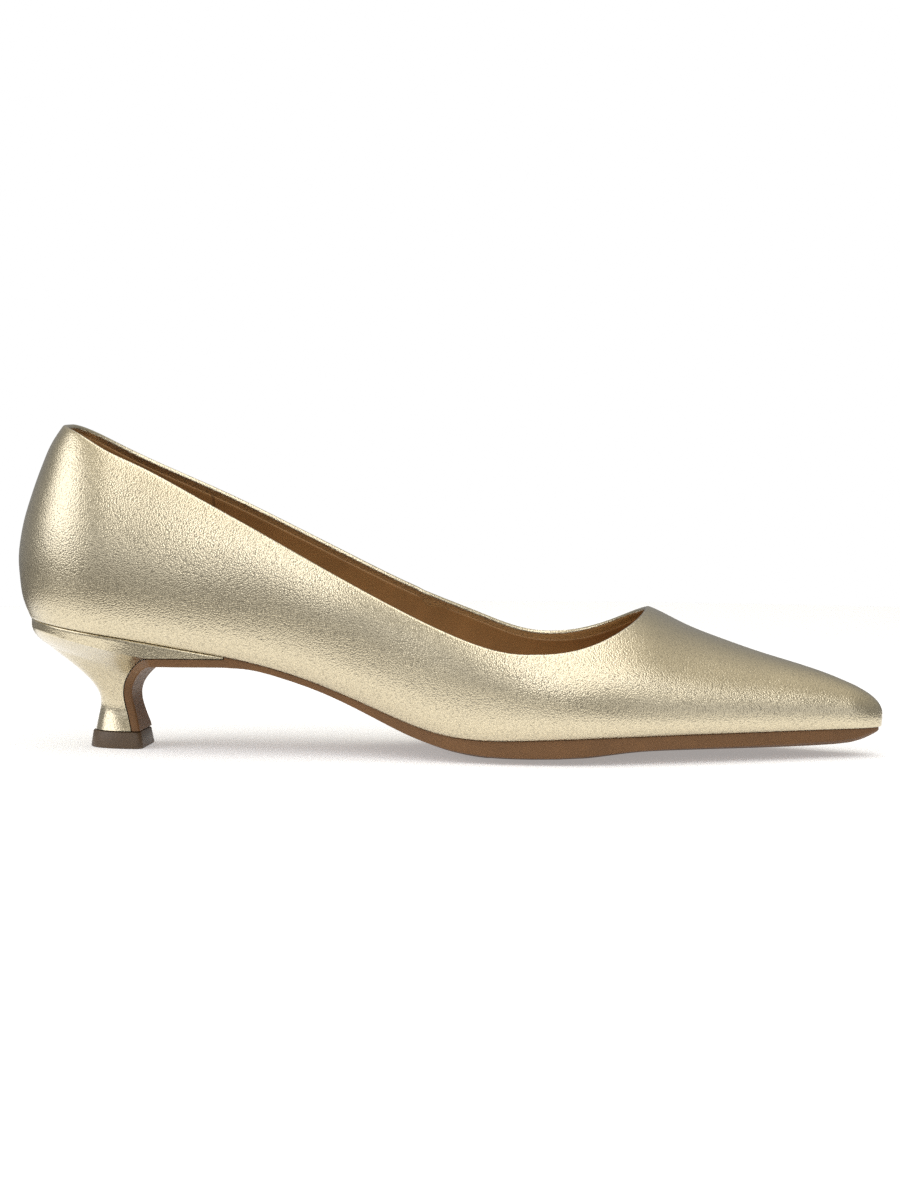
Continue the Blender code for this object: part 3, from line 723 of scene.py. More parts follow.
def new_material(name):
    """Empty material, its tree, its shader and the object's coordinates in metres."""
    made = bpy.data.materials.new(name)
    made.use_nodes = True
    tree = made.node_tree
    shader = tree.nodes["Principled BSDF"]
    place = add_node(tree, "ShaderNodeTexCoord").outputs["Object"]
    return made, tree, shader, place


def per_mm(millimetres):
    """Texture scale for one pattern cell of that many millimetres."""
    return 1000.0 / millimetres


def noise(tree, place, cell_mm, detail, roughness=0.5):
    """Cloudy values with patches of that many millimetres."""
    inputs = {"Vector": place, "Scale": per_mm(cell_mm), "Detail": detail, "Roughness": roughness}
    return add_node(tree, "ShaderNodeTexNoise", inputs).outputs["Fac"]


def maths(tree, operation, *values):
    """Result of one sum on values or outputs."""
    return add_node(tree, "ShaderNodeMath", dict(enumerate(values)), operation=operation).outputs["Value"]


def two_tones(tree, factor, colour, low, high, first=0.3, last=0.7):
    """Goes from one share of a colour to another as the factor goes from first to last."""
    ramp = add_node(tree, "ShaderNodeValToRGB", {"Fac": factor})
    for spot, place, share in zip(ramp.color_ramp.elements, (first, last), (low, high)):
        spot.position = place
        spot.color = (*(min(1.0, part * share) for part in colour), 1.0)
    return ramp.outputs["Color"]


def relief(tree, height, strength, depth, inputs=None, **settings):
    """Normal of a fine relief as deep as that many metres."""
    inputs = {"Height": height, "Strength": strength, "Distance": depth, **(inputs or {})}
    return add_node(tree, "ShaderNodeBump", inputs, **settings).outputs["Normal"]


def gold_leather(colours, sizes, name, stretch):
    """Calf leather with a pale gold foil pressed on. The foil gives a metal's reflection, and the
    pebble grain under it breaks that up into a soft satin glitter. The clear finish over it softens
    the edges of the lights. Stretch is how much of the grain's depth is left.

    Pebbles too fine to show in the render are drawn as coarse as they need to show."""
    made, tree, shader, place = new_material(name)
    warp = add_node(tree, "ShaderNodeTexNoise",
                    {"Vector": place, "Scale": per_mm(1.1), "Detail": 0.0})
    shaken = add_node(tree, "ShaderNodeVectorMath",
                      {0: warp.outputs["Color"], "Scale": 0.00015}, operation="SCALE")
    moved = add_node(tree, "ShaderNodeVectorMath",
                     {0: place, 1: shaken.outputs["Vector"]}, operation="ADD")
    pebbles = add_node(tree, "ShaderNodeTexVoronoi",
                       {"Vector": moved.outputs["Vector"], "Scale": per_mm(sizes.grain_mm)})
    domes = maths(tree, "POWER", pebbles.outputs["Distance"], 1.7)
    pores = noise(tree, place, 0.5, 1.0)
    height = maths(tree, "MULTIPLY_ADD", pores, -0.3, domes)
    grain = relief(tree, height, 1.0, sizes.grain_depth * stretch, invert=True)
    # Slow waves, left from pulling the leather over the last
    hand = noise(tree, place, 26.0, 1.0, 0.4)
    lasted = relief(tree, hand, 0.6, 0.0010, {"Normal": grain})
    satin = add_node(tree, "ShaderNodeMapRange",
                     {"Value": hand, "From Min": 0.3, "From Max": 0.7, "To Min": 0.19, "To Max": 0.26})
    # The base colour darkens from the pebbles' tops down into the valleys between them: painted shade in
    # the grain's hollows.
    fill(tree, shader, {
        "Base Color": two_tones(tree, domes, colours.gold, 1.0, 0.66, 0.0, 0.75),
        "Roughness": satin.outputs["Result"], "Normal": lasted,
        "Metallic": 0.92, "Coat Weight": 0.6, "Coat Roughness": 0.25})
    return made


def tan_lining(colours, name, seam):
    """Vegetable tanned pigskin lining, rubbed smooth: matt, with pores and a faint cloud that keep the
    inside from looking like paint. The pores are drawn coarser than real ones, so that they show."""
    made, tree, shader, place = new_material(name)
    colour = two_tones(tree, noise(tree, place, 9.0, 3.0), colours.lining, 0.86, 1.10)
    height = noise(tree, place, 0.5, 2.0)
    if seam:
        # The stained groove gives the lining its upright side seam
        x = add_node(tree, "ShaderNodeSeparateXYZ", {"Vector": place}).outputs["X"]
        away = maths(tree, "ABSOLUTE", maths(tree, "SUBTRACT", x, LINING_SEAM_X + MIDDLE.x))
        line = add_node(tree, "ShaderNodeMapRange",
                        {"Value": away, "From Min": LINING_SEAM_LINE, "From Max": LINING_SEAM_STAIN,
                         "To Min": 1.0, "To Max": 0.0}, interpolation_type="SMOOTHSTEP").outputs["Result"]
        stained = add_node(tree, "ShaderNodeMix", {"Factor": line, "A": colour}, data_type="RGBA")
        stained.inputs["B"].default_value = (*(part * 0.60 for part in colours.lining), 1.0)
        colour = stained.outputs["Result"]
        height = maths(tree, "MULTIPLY_ADD", line, -4.0, height)
    fill(tree, shader, {"Base Color": colour, "Normal": relief(tree, height, 0.4, 0.00008),
                        "Roughness": 0.52, "IOR": 1.50})
    return made


def sole_board(colours):
    """Leather sole with a dyed and waxed edge: the wax gives it a dull satin, and the fibres along the
    edge, drawn coarser than real ones, show that it is cut from a sheet."""
    made, tree, shader, place = new_material("dyed_waxed_sole_leather")
    stretched = add_node(tree, "ShaderNodeMapping", {"Vector": place, "Scale": (0.12, 1.0, 1.0)})
    fibres = noise(tree, stretched.outputs["Vector"], 0.45, 3.0)
    both = add_node(tree, "ShaderNodeMix",
                    {"Factor": 0.35, "A": noise(tree, place, 12.0, 3.0), "B": fibres}, data_type="FLOAT")
    fill(tree, shader, {
        "Base Color": two_tones(tree, both.outputs["Result"], colours.sole, 0.82, 1.14),
        "Normal": relief(tree, fibres, 0.3, 0.00008),
        "Roughness": 0.55, "IOR": 1.50, "Specular IOR Level": 0.35})
    return made


def tip_rubber(colours):
    """Injection moulded polyurethane top piece: taupe and matt from the mould's spark texture, which
    is drawn coarser than the real one, so that it shows."""
    made, tree, shader, place = new_material("moulded_polyurethane")
    fill(tree, shader, {
        "Base Color": two_tones(tree, noise(tree, place, 6.0, 2.0), colours.top_piece, 0.88, 1.12,
                                0.0, 1.0),
        "Normal": relief(tree, noise(tree, place, 0.4, 2.0), 0.3, 0.00006),
        "Roughness": 0.46, "IOR": 1.50})
    return made


def leather_mesh(sizes):
    """Outer leather: tucked in under the feather line, turned over at the topline and down inside."""
    skin = Skin(0.0)
    skin.move(fold_shift(sizes.fold_depth))
    frames = skin.edge_frames()
    rows = turned_rows(frames, -sizes.turned_edge / 2, TURN_STEPS)
    for k in range(1, STRIP_STEPS + 1):
        down = sizes.turned_in * STRIP_REACH * k / STRIP_STEPS
        rows.append([vert.co - normal * sizes.turned_edge - onward * down
                     for vert, normal, onward in frames])
    skin.add_rows([vert for vert, _, _ in frames], rows)
    low = skin.low_edge()
    rows = [[feather_point(skin.places[i], side, inset, drop) for side, i, _ in low]
            for inset, drop in TUCKS]
    skin.add_rows([skin.verts[key] for key in low][::-1], [row[::-1] for row in rows])
    return skin.mesh


def lining_mesh(sizes):
    """Lining inside the upper, its cut edge lying on the turned leather just below the topline."""
    skin = Skin(sizes.turned_in)
    depth = sizes.turned_edge + sizes.lining_thickness
    for vert, normal in [(vert, vert.normal.copy()) for vert in skin.verts.values()]:
        vert.co -= normal * depth
    for side, i, j in skin.low_edge():
        skin.verts[(side, i, j)].co = feather_point(skin.places[i], side, depth)
    skin.mesh.normal_update()
    frames = skin.edge_frames()
    rows = turned_rows(frames, sizes.lining_thickness, LINING_TURN_STEPS)
    skin.add_rows([vert for vert, _, _ in frames], rows)
    bmesh.ops.reverse_faces(skin.mesh, faces=skin.mesh.faces[:])
    return skin.mesh


def sock_mesh():
    """Sock on the insole board: soft edges and a little dip for the foot."""
    rings = []
    for along in stations(0.0, FLOOR_STEPS):
        lateral = feather_point(along, -1, WALL + GAP)
        medial = feather_point(along, 1, WALL + GAP)
        width = max((medial - lateral).length, 1e-9)
        top = []
        for k in range(SOCK_STEPS + 1):
            share = k / SOCK_STEPS
            edge = min(share, 1 - share) * width
            rise = INSOLE_THICKNESS - SOCK_EDGE_DEPTH * max(0.0, 1 - edge / SOCK_EDGE_WIDTH) ** 2
            dip = SOCK_DIP * math.sin(math.pi * share) ** 2 * min(1.0, width / SOCK_DIP_WIDTH)
            top.append(medial.lerp(lateral, share) + Vector((0.0, 0.0, rise - dip)))
        rings.append([lateral, medial] + top)
    return loft(rings)


def strap_ring(lateral, medial, down, thickness, crown=0.0):
    """Section through the sole: flat top, rounded lower edges and a shaped underside."""
    width = max((medial - lateral).length, 1e-9)
    soft = min(SOLE_ROUND, thickness * SOLE_ROUND_SHARE)
    inwards = min(SOLE_ROUND_SHARE, soft / width)
    ring = [lateral, lateral.lerp(medial, 0.5), medial]
    arc = [math.pi / 2 * k / SOLE_EDGE_STEPS for k in range(SOLE_EDGE_STEPS + 1)]
    for angle in arc:
        ring.append(medial.lerp(lateral, inwards * (1 - math.cos(angle)))
                    + down * (thickness - soft + soft * math.sin(angle)))
    for k in range(1, SOLE_STEPS):
        share = inwards + (1 - 2 * inwards) * k / SOLE_STEPS
        ring.append(medial.lerp(lateral, share) + down * (thickness + crown * underside_drop(share)))
    for angle in arc[::-1]:
        ring.append(lateral.lerp(medial, inwards * (1 - math.cos(angle)))
                    + down * (thickness - soft + soft * math.sin(angle)))
    for point in ring:
        point.z = max(0.0, point.z)
    return ring


def breast_line():
    """Front of the heel as x, z and spread over the length of the line."""
    underside = feather_height(WING_TIP_X / LENGTH) - GAP - WING_EDGE
    xs = [BREAST_X + (WING_TIP_X - BREAST_X) * row[0] for row in BREAST]
    zs = [underside * row[1] for row in BREAST]
    zs[-1] = TIP_HEIGHT + GAP
    run = [0.0]
    for k in range(1, len(xs)):
        run.append(run[-1] + math.hypot(xs[k] - xs[k - 1], zs[k] - zs[k - 1]))
    shares = [length / run[-1] for length in run]
    spreads = [row[2] for row in BREAST]
    return [Curve(shares, values) for values in (xs, zs, spreads)]


breast_x, breast_z, breast_spread = breast_line()


def breast_root():
    """Share of the breast line at which the wings start."""
    low, high = 0.0, 1.0
    for _ in range(ROOT_TRIES):
        share = (low + high) / 2
        low, high = (share, high) if breast_x(share) > WING_ROOT_X else (low, share)
        if breast_z(share) < HEEL_HEIGHT / 2:
            high = share
    return (low + high) / 2


BREAST_ROOT = breast_root()


def breast_half(share, side, inset):
    """Half width of the heel's front at a share of the breast line."""
    if share <= BREAST_ROOT:
        return feather_point(breast_x(share) / LENGTH, side, inset).y
    fade = breast_spread(share) / breast_spread(BREAST_ROOT)
    return feather_point(WING_ROOT_X / LENGTH, side, inset).y * fade


def sole_mesh():
    """One sole from the toe back under the wings and down the front of the heel."""
    down = Vector((0.0, 0.0, -1.0))
    rings = []
    front = [along for along in stations(0.0, FLOOR_STEPS)
             if along * LENGTH > WING_TIP_X + WING_CLEARANCE]
    for along in reversed(front):
        lateral = feather_point(along, -1, SOLE_INSET, GAP)
        medial = feather_point(along, 1, SOLE_INSET, GAP)
        thickness = sole_edge(along) * SOLE_EDGE - GAP
        crown = sole_crown(along) * SOLE_CROWN * closing(along)
        rings.append(strap_ring(lateral, medial, down, thickness, crown))
    along = (WING_TIP_X + GAP) / LENGTH
    thickness = sole_edge(along) * SOLE_EDGE - GAP
    lateral = feather_point(along, -1, SOLE_INSET, GAP)
    medial = feather_point(along, 1, SOLE_INSET, GAP)
    rings.append(strap_ring(lateral, medial, down, thickness))
    drop = lateral.z - (breast_z(0.0) - GAP)
    rings.append(strap_ring(lateral + down * drop, medial + down * drop, down, thickness - drop))
    for share in spread(0.0, BREAST_ROOT, RUN_STEPS) + spread(BREAST_ROOT, 1.0, BREAST_STEPS):
        before, after = share - BREAST_REACH, min(1.0, share + BREAST_REACH)
        run_x = breast_x(after) - breast_x(before)
        run_z = breast_z(after) - breast_z(before)
        length = math.hypot(run_x, run_z)
        away = Vector((-run_z / length, 0.0, run_x / length))
        if share == 1.0:
            away = Vector((1.0, 0.0, 0.0))
        edges = [Vector((breast_x(share), breast_half(share, side, SOLE_INSET), breast_z(share)))
                 for side in SIDES]
        lateral, medial = (edge + away * GAP for edge in edges)
        rings.append(strap_ring(lateral, medial, away, SHANK_SOLE - GAP))
    return loft(rings, close_last=True)


def heel_stations():
    """Places and sides from the outer wing's tip round the back to the inner wing's tip."""
    root = WING_ROOT_X / LENGTH
    wing = spread(root, WING_TIP_X / LENGTH, WING_STEPS)
    row = [(along, -1) for along in wing[::-1]]
    row += [(root * (1 - math.cos(angle)), -1 if angle < 0 else 1) for angle in HEEL_ANGLES]
    return row + [(along, 1) for along in wing]


def seat_row(inset, drop, below=False):
    """Row of the seat and the wings; below puts the wings' points on the wings' lower edge."""
    points = []
    for along, side in heel_stations():
        on_wing = along > WING_ROOT_X / LENGTH
        part = 1.0
        if on_wing:
            part = min(1.0, (feather_height(along) - GAP - breast_z(0.0)) / FULL_ROLL)
        point = feather_point(along, side, HEEL_INSET + inset * part, GAP + drop * part)
        if below and on_wing:
            point.z = breast_z(0.0)
        points.append(point)
    return points


def waist_ring(share, weight):
    """Level ring of the heel at a share of the breast line; weight draws it out to the seat."""
    front = breast_x(share)
    front_z = breast_z(share)
    tip_z = TIP_HEIGHT + GAP
    under = feather_height(0.0) - GAP - SEAT_BAND
    back_z = tip_z + (front_z - tip_z) * (under - tip_z) / (breast_z(BREAST_ROOT) - tip_z)
    back = heel_back(back_z / HEEL_HEIGHT) * WAIST_BACK_X
    ring = []
    for angle in HEEL_ANGLES:
        side = -1 if angle < 0 else 1
        above = feather_point(WING_ROOT_X / LENGTH * (1 - math.cos(angle)), side, HEEL_INSET, GAP)
        half = breast_half(share, side, HEEL_INSET)
        x = front - (front - back) * math.cos(angle) ** (2 / ROUND_POWER)
        y = half * abs(math.sin(angle)) ** (2 / ROUND_POWER)
        z = back_z + (front_z - back_z) * (1 - math.cos(angle))
        pull = weight * math.cos(angle)
        ring.append(Vector((x + (above.x - x) * pull, y + (above.y - y) * pull, z)))
    return ring


def heel_rows(roll):
    """Rows of the seat and the wings from the top inwards edge down to the waist's first ring."""
    rows = [seat_row(SEAT_INSET, 0.0)]
    for k in range(ROLL_STEPS + 1):
        angle = math.pi / 2 * k / ROLL_STEPS
        rows.append(seat_row(roll * (1 - math.sin(angle)), roll * (1 - math.cos(angle))))
    rolled = rows[-1]
    lowest = seat_row(0.0, 0.0, below=True)
    lowest[WING_STEPS:-WING_STEPS] = waist_ring(BREAST_ROOT, 1.0)
    for k in range(1, BAND_STEPS):
        rows.append([start.lerp(end, k / BAND_STEPS) for start, end in zip(rolled, lowest)])
    return rows + [lowest]


def heel_mesh(sizes):
    """Covered heel: seat and wings with a rolled upper edge, waist, and a flat front."""
    made = bmesh.new()
    verts = [[made.verts.new(point) for point in row] for row in heel_rows(sizes.heel_roll)]
    for row, after in zip(verts, verts[1:]):
        for k in range(len(row) - 1):
            made.faces.new((row[k], row[k + 1], after[k + 1], after[k]))
    levels = [verts[-1][WING_STEPS:-WING_STEPS]]
    for share in spread(BREAST_ROOT, 1.0, BREAST_STEPS):
        weight = max(0.0, 1 - (share - BREAST_ROOT) / (1 - BREAST_ROOT) / SEAT_FADE)
        levels.append([made.verts.new(point) for point in waist_ring(share, weight)])
    for row, after in zip(levels, levels[1:]):
        for k in range(HEEL_STEPS):
            made.faces.new((row[k], row[k + 1], after[k + 1], after[k]))
        made.faces.new((row[-1], row[0], after[0], after[-1]))
    made.faces.new(levels[-1])
    for row in (verts[0], verts[-1]):
        for k in range(WING_STEPS):
            made.faces.new((row[k], row[k + 1], row[-k - 2], row[-k - 1]))
    seat = verts[0][WING_STEPS:-WING_STEPS]
    half = HEEL_STEPS // 2
    for k in range(half - 1):
        made.faces.new((seat[k], seat[k + 1], seat[-k - 2], seat[-k - 1]))
    made.faces.new((seat[half - 1], seat[half], seat[half + 1]))
    for row, after in zip(verts, verts[1:]):
        made.faces.new((row[0], after[0], after[-1], row[-1]))
    face_outwards(made)
    return made


def tip_ring(inset, height):
    """Outline of the top piece: round at the back, a flat front with rounded corners."""
    back = TIP_BACK_X + inset
    flank = TIP_BACK_X + TIP_LENGTH - inset - TIP_CORNER
    half = TIP_WIDTH / 2 - inset
    ring = []
    for k in range(TIP_STEPS + 1):
        angle = math.pi * (k / TIP_STEPS - 0.5)
        x = flank - (flank - back) * math.cos(angle) ** (2 / ROUND_POWER)
        y = math.copysign(half * abs(math.sin(angle)) ** (2 / ROUND_POWER), angle)
        ring.append(Vector((x, y, height)))
    turns = range(1, TIP_CORNER_STEPS + 1)
    for side, order in ((1, turns), (-1, turns[::-1])):
        for turn in order:
            angle = math.pi / 2 * turn / TIP_CORNER_STEPS
            x = flank + TIP_CORNER * math.sin(angle)
            y = side * (half - TIP_CORNER * (1 - math.cos(angle)))
            ring.append(Vector((x, y, height)))
    return ring


def top_piece_mesh():
    """Top piece: it widens a little towards the floor, and its moulded edges are broken."""
    rings = [tip_ring(TIP_CHAMFER, 0.0)]
    for k in range(1, TIP_EDGE_STEPS + 1):
        angle = math.pi / 2 * k / TIP_EDGE_STEPS
        rings.append(tip_ring(TIP_CHAMFER * (1 - math.sin(angle)), TIP_CHAMFER * (1 - math.cos(angle))))
    broken = TIP_TOP_ROUND * TIP_TOP_SHARE
    rings.append(tip_ring(TIP_DRAFT * TIP_DRAFT_SHARE, TIP_HEIGHT - TIP_TOP_ROUND))
    rings.append(tip_ring(TIP_DRAFT + broken, TIP_HEIGHT - broken))
    rings.append(tip_ring(TIP_DRAFT + TIP_TOP_ROUND, TIP_HEIGHT))
    return loft(rings, close_first=True, close_last=True)


def length_setting(name, description, default, smallest, largest):
    """Property for a length in metres."""
    return bpy.props.FloatProperty(name=name, description=description, default=default, min=smallest,
                                   max=largest, unit="LENGTH", precision=6)


def colour_setting(name, description, code):
    """Property for a colour, from its sRGB hex code."""
    return bpy.props.FloatVectorProperty(name=name, description=description, subtype="COLOR",
                                         default=linear(code), min=0.0, max=1.0)


class PumpSizes(bpy.types.PropertyGroup):
    turned_edge: length_setting(
        "Turned edge", "Thickness of the leather folded over at the topline", 0.0018, 0.0008, 0.003)
    turned_in: length_setting(
        "Turned in", "How far the folded leather shows inside the topline", 0.0019, 0.0005, 0.006)
    lining_thickness: length_setting(
        "Lining edge", "How far the lining stands over the folded leather", 0.0003, 0.0001, 0.001)
    fold_depth: bpy.props.FloatProperty(
        name="Folds", description="Depth of the soft folds in the leather, 1 as on the shoe",
        default=1.0, min=0.0, max=3.0)
    heel_roll: length_setting(
        "Heel roll", "Radius of the rolled upper edge of the heel's cover", 0.0006, 0.0001, 0.002)
    grain_mm: bpy.props.FloatProperty(
        name="Grain", description="Width of one pebble of the leather's grain, in millimetres",
        default=0.50, min=0.3, max=3.0)
    grain_depth: length_setting(
        "Grain depth", "Depth of the leather's grain between two pebbles", 0.00008, 0.0, 0.001)


class PumpColours(bpy.types.PropertyGroup):
    gold: colour_setting("Gold foil", "Colour of the foiled leather", "dccfb0")
    lining: colour_setting("Lining", "Colour of the lining and the sock", "a07645")
    sole: colour_setting("Sole", "Colour of the sole and its edge", "6b4a29")
    top_piece: colour_setting("Top piece", "Colour of the moulded top piece", "52402c")
    floor: colour_setting("Floor", "Colour of the light table", "f8f8f8")


class PUMP_OT_upper(bpy.types.Operator):
    """Outer leather and lining"""
    bl_idname = "pump.upper"
    bl_label = "Upper"

    def execute(self, context):
        sizes = context.scene.pump_sizes
        colours = context.scene.pump_colours
        gold = gold_leather(colours, sizes, "foiled_pebbled_calf_leather", 1.0)
        leather = add_piece("upper_leather", leather_mesh(sizes), gold, 60.0)
        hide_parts("upper")
        lining = add_piece("upper_lining", lining_mesh(sizes),
                           tan_lining(colours, "rubbed_pigskin_lining", True), 60.0)
        return {"FINISHED"}


class PUMP_OT_sock(bpy.types.Operator):
    """Sock over the insole board"""
    bl_idname = "pump.sock"
    bl_label = "Sock"

    def execute(self, context):
        sock = add_piece("sock", sock_mesh(),
                         tan_lining(context.scene.pump_colours, "rubbed_pigskin_sock", False))
        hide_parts("insole")
        return {"FINISHED"}


class PUMP_OT_sole(bpy.types.Operator):
    """Sole from the toe to the foot of the heel"""
    bl_idname = "pump.sole"
    bl_label = "Sole"

    def execute(self, context):
        sole = add_piece("sole", sole_mesh(), sole_board(context.scene.pump_colours))
        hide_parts("outsole")
        return {"FINISHED"}


class PUMP_OT_heel(bpy.types.Operator):
    """Covered heel and its top piece"""
    bl_idname = "pump.heel"
    bl_label = "Heel"

    def execute(self, context):
        sizes = context.scene.pump_sizes
        colours = context.scene.pump_colours
        cover = add_piece("heel_cover", heel_mesh(sizes),
                          gold_leather(colours, sizes, "foiled_calf_leather_stretched", 0.45))
        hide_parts("heel")
        tip = add_piece("top_piece", top_piece_mesh(), tip_rubber(colours))
        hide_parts("heel_tip")
        return {"FINISHED"}


# Camera: distance from its target, direction, target and lens, all read from the photo's view
CAMERA_DISTANCE = 1.0
CAMERA_AZIMUTH = 6.9
CAMERA_ELEVATION = 4.2
CAMERA_TARGET = Vector((0.00123, 0.0, 0.04607))
CAMERA_LENS = 98.25
CAMERA_SENSOR = 36.0

# Soft boxes. name, place, aimed at, width, height, watts
SOFT_BOXES = (
    ("left_soft_box", (-0.86, -0.38, 0.48), (-0.10, 0.0, 0.06), 0.80, 0.80, 4.0),
    ("low_soft_box", (-0.28, -0.92, 0.27), (-0.06, 0.0, 0.06), 0.60, 0.26, 0.32),
    ("front_soft_box", (0.10, -0.88, 0.66), (0.0, 0.0, 0.06), 0.36, 0.70, 1.9),
    ("top_soft_box", (0.10, 0.04, 1.0), (0.0, 0.0, 0.04), 1.4, 0.34, 3.2),
    ("right_soft_box", (0.56, -0.58, 0.70), (0.06, 0.0, 0.03), 0.44, 0.30, 0.88),
    ("toe_soft_box", (0.80, -0.58, 0.22), (0.09, 0.0, 0.02), 0.55, 0.40, 0.45),
)
DAYLIGHT = (0.98, 1.0, 1.06)

# Light of the room by height: sine of the elevation, and red, green and blue
ROOM = (
    (-1.0, 0.12, 0.12, 0.12),
    (-0.05, 0.25, 0.25, 0.25),
    (0.10, 0.27, 0.27, 0.27),
    (0.30, 0.31, 0.305, 0.29),
    (0.60, 0.40, 0.385, 0.345),
    (1.00, 0.85, 0.80, 0.69),
)

# Round table, its own glow, and the dark cloth round the bright oval that lies under the shoe
TABLE_RADIUS = 0.62
TABLE_GLOW = 0.30
CLOTH_COLOUR = (0.17, 0.16, 0.145)
CLOTH_HEIGHT = 0.002
OVAL_LENGTH = 0.27
OVAL_DEPTH = 0.170
ROOM_RADIUS = 3.0
CIRCLE_STEPS = 96
WHITE = (1.0, 1.0, 1.0, 1.0)
BLACK = (0.0, 0.0, 0.0, 1.0)


def stage_piece(name, mesh_data, finish, unseen=()):
    """Adds a piece of the stage, which isn't part of the shoe; unseen names the rays that miss it."""
    mesh = bpy.data.meshes.new(name)
    mesh_data.to_mesh(mesh)
    mesh_data.free()
    mesh.shade_smooth()
    mesh.materials.append(finish)
    piece = bpy.data.objects.new(name, mesh)
    bpy.context.scene.collection.objects.link(piece)
    for ray in unseen:
        setattr(piece, "visible_" + ray, False)


def light_table(colour):
    """Opal light table: white and matt, with a glow that thins the shoe's shadow."""
    paper, tree, shader, place = new_material("matt_white_light_table")
    fill(tree, shader, {"Base Color": (*colour, 1.0), "Roughness": 0.9,
                        "Normal": relief(tree, noise(tree, place, 1.0, 2.0), 0.1, 0.00005),
                        "Emission Color": WHITE, "Emission Strength": TABLE_GLOW})
    table = bmesh.new()
    bmesh.ops.create_circle(table, cap_ends=True, segments=CIRCLE_STEPS, radius=TABLE_RADIUS)
    stage_piece("light_table", table, paper)


def dark_surround():
    """Dark cloth that only the gloss of the leather sees: it gives the bands between the lights."""
    cloth, tree, shader, _ = new_material("dark_grey_studio_cloth")
    fill(tree, shader, {"Base Color": (*CLOTH_COLOUR, 1.0), "Roughness": 1.0})
    flag = bmesh.new()
    turns = [math.tau * k / CIRCLE_STEPS for k in range(CIRCLE_STEPS)]
    oval, rim = [[flag.verts.new((length * math.cos(turn), depth * math.sin(turn), CLOTH_HEIGHT))
                  for turn in turns]
                 for length, depth in ((OVAL_LENGTH, OVAL_DEPTH), (TABLE_RADIUS, TABLE_RADIUS))]
    for k in range(CIRCLE_STEPS):
        n = (k + 1) % CIRCLE_STEPS
        flag.faces.new((oval[k], rim[k], rim[n], oval[n]))
    stage_piece("dark_surround", flag, cloth, ("camera", "diffuse", "transmission", "shadow"))


def white_room():
    """Evenly lit white paint behind the shoe, which only the camera sees."""
    wall, tree, shader, _ = new_material("white_room_paint")
    fill(tree, shader, {"Base Color": BLACK, "Roughness": 1.0, "Specular IOR Level": 0.0,
                        "Emission Color": WHITE, "Emission Strength": 1.0})
    shell = bmesh.new()
    bmesh.ops.create_uvsphere(shell, u_segments=48, v_segments=24, radius=ROOM_RADIUS)
    bmesh.ops.reverse_faces(shell, faces=shell.faces[:])
    stage_piece("white_room", shell, wall, ("diffuse", "glossy", "transmission", "shadow"))


def soft_box(name, where, target, width, height, watts):
    """Flat lamp of that size, aimed at its target."""
    light = bpy.data.lights.new(name, "AREA")
    light.shape = "RECTANGLE"
    light.size = width
    light.size_y = height
    light.energy = watts
    light.color = DAYLIGHT
    lamp = bpy.data.objects.new(name, light)
    lamp.location = where
    aim = Vector(target) - Vector(where)
    lamp.rotation_euler = aim.to_track_quat("-Z", "Y").to_euler()
    bpy.context.scene.collection.objects.link(lamp)


def studio_room():
    """Light that comes from all round: grey at the horizon, warmer and brighter overhead."""
    world = bpy.data.worlds.new("studio_room")
    world.use_nodes = True
    tree = world.node_tree
    direction = add_node(tree, "ShaderNodeTexCoord").outputs["Generated"]
    up = add_node(tree, "ShaderNodeSeparateXYZ", {"Vector": direction}).outputs["Z"]
    share = add_node(tree, "ShaderNodeMapRange", {"Value": up, "From Min": -1.0, "From Max": 1.0})
    light = add_node(tree, "ShaderNodeValToRGB", {"Fac": share.outputs["Result"]})
    spots = light.color_ramp.elements
    for height, *_ in ROOM[1:-1]:
        spots.new((height + 1) / 2)
    for spot, (height, *colour) in zip(spots, ROOM):
        spot.position = (height + 1) / 2
        spot.color = (*colour, 1.0)
    fill(tree, tree.nodes["Background"], {"Color": light.outputs["Color"]})
    return world


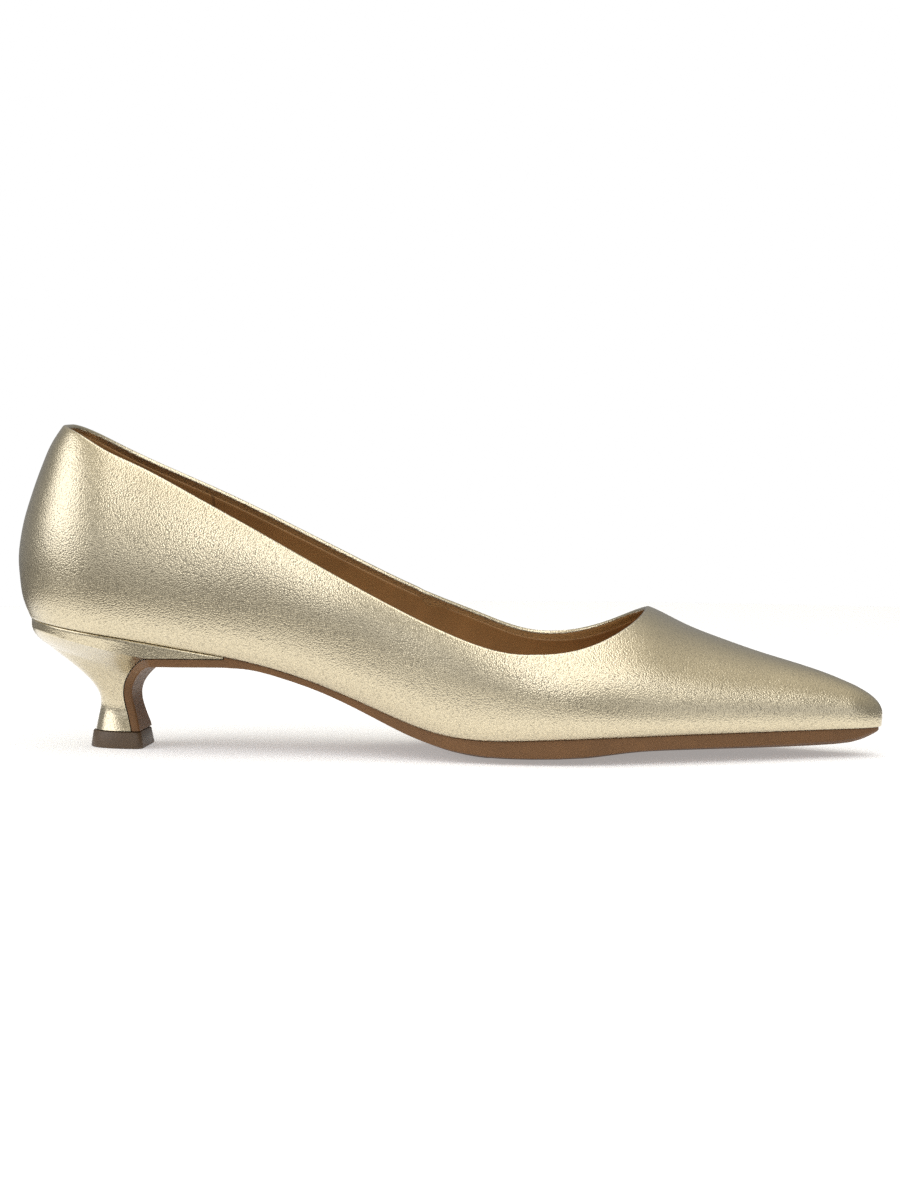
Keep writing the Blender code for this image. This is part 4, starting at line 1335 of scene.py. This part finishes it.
def studio_camera():
    """Camera that stands where the photo's did."""
    azimuth = math.radians(CAMERA_AZIMUTH)
    elevation = math.radians(CAMERA_ELEVATION)
    away = Vector((math.sin(azimuth) * math.cos(elevation),
                   -math.cos(azimuth) * math.cos(elevation), math.sin(elevation)))
    lens = bpy.data.cameras.new("studio_camera")
    lens.lens = CAMERA_LENS
    lens.sensor_width = CAMERA_SENSOR
    lens.clip_start = 0.01
    camera = bpy.data.objects.new("studio_camera", lens)
    camera.location = CAMERA_TARGET + away * CAMERA_DISTANCE
    camera.rotation_euler = away.to_track_quat("Z", "Y").to_euler()
    bpy.context.scene.collection.objects.link(camera)
    return camera


class PUMP_OT_stage(bpy.types.Operator):
    """Light table, white room, soft boxes and camera"""
    bl_idname = "pump.stage"
    bl_label = "Stage"

    def execute(self, context):
        scene = context.scene
        light_table(scene.pump_colours.floor)
        dark_surround()
        white_room()
        for row in SOFT_BOXES:
            soft_box(*row)
        scene.world = studio_room()
        scene.view_settings.view_transform = "Standard"
        scene.cycles.use_denoising = False
        scene.camera = studio_camera()
        return {"FINISHED"}


class PUMP_PT_panel(bpy.types.Panel):
    bl_idname = "PUMP_PT_panel"
    bl_label = "Kitten heel pump"
    bl_space_type = "VIEW_3D"
    bl_region_type = "UI"
    bl_category = "Pump"

    def draw(self, context):
        layout = self.layout
        for group in (context.scene.pump_sizes, context.scene.pump_colours):
            box = layout.box()
            for name in type(group).__annotations__:
                box.prop(group, name)
        for operator in OPERATORS:
            layout.operator(operator.bl_idname)


OPERATORS = (PUMP_OT_upper, PUMP_OT_sock, PUMP_OT_sole, PUMP_OT_heel, PUMP_OT_stage)
CLASSES = (PumpSizes, PumpColours, *OPERATORS, PUMP_PT_panel)


def register():
    for each in CLASSES:
        bpy.utils.register_class(each)
    bpy.types.Scene.pump_sizes = bpy.props.PointerProperty(type=PumpSizes)
    bpy.types.Scene.pump_colours = bpy.props.PointerProperty(type=PumpColours)


def unregister():
    del bpy.types.Scene.pump_colours
    del bpy.types.Scene.pump_sizes
    for each in reversed(CLASSES):
        bpy.utils.unregister_class(each)


def main():
    register()
    bpy.ops.pump.upper()
    bpy.ops.pump.sock()
    bpy.ops.pump.sole()
    bpy.ops.pump.heel()
    bpy.ops.pump.stage()


if __name__ == "__main__":
    main()
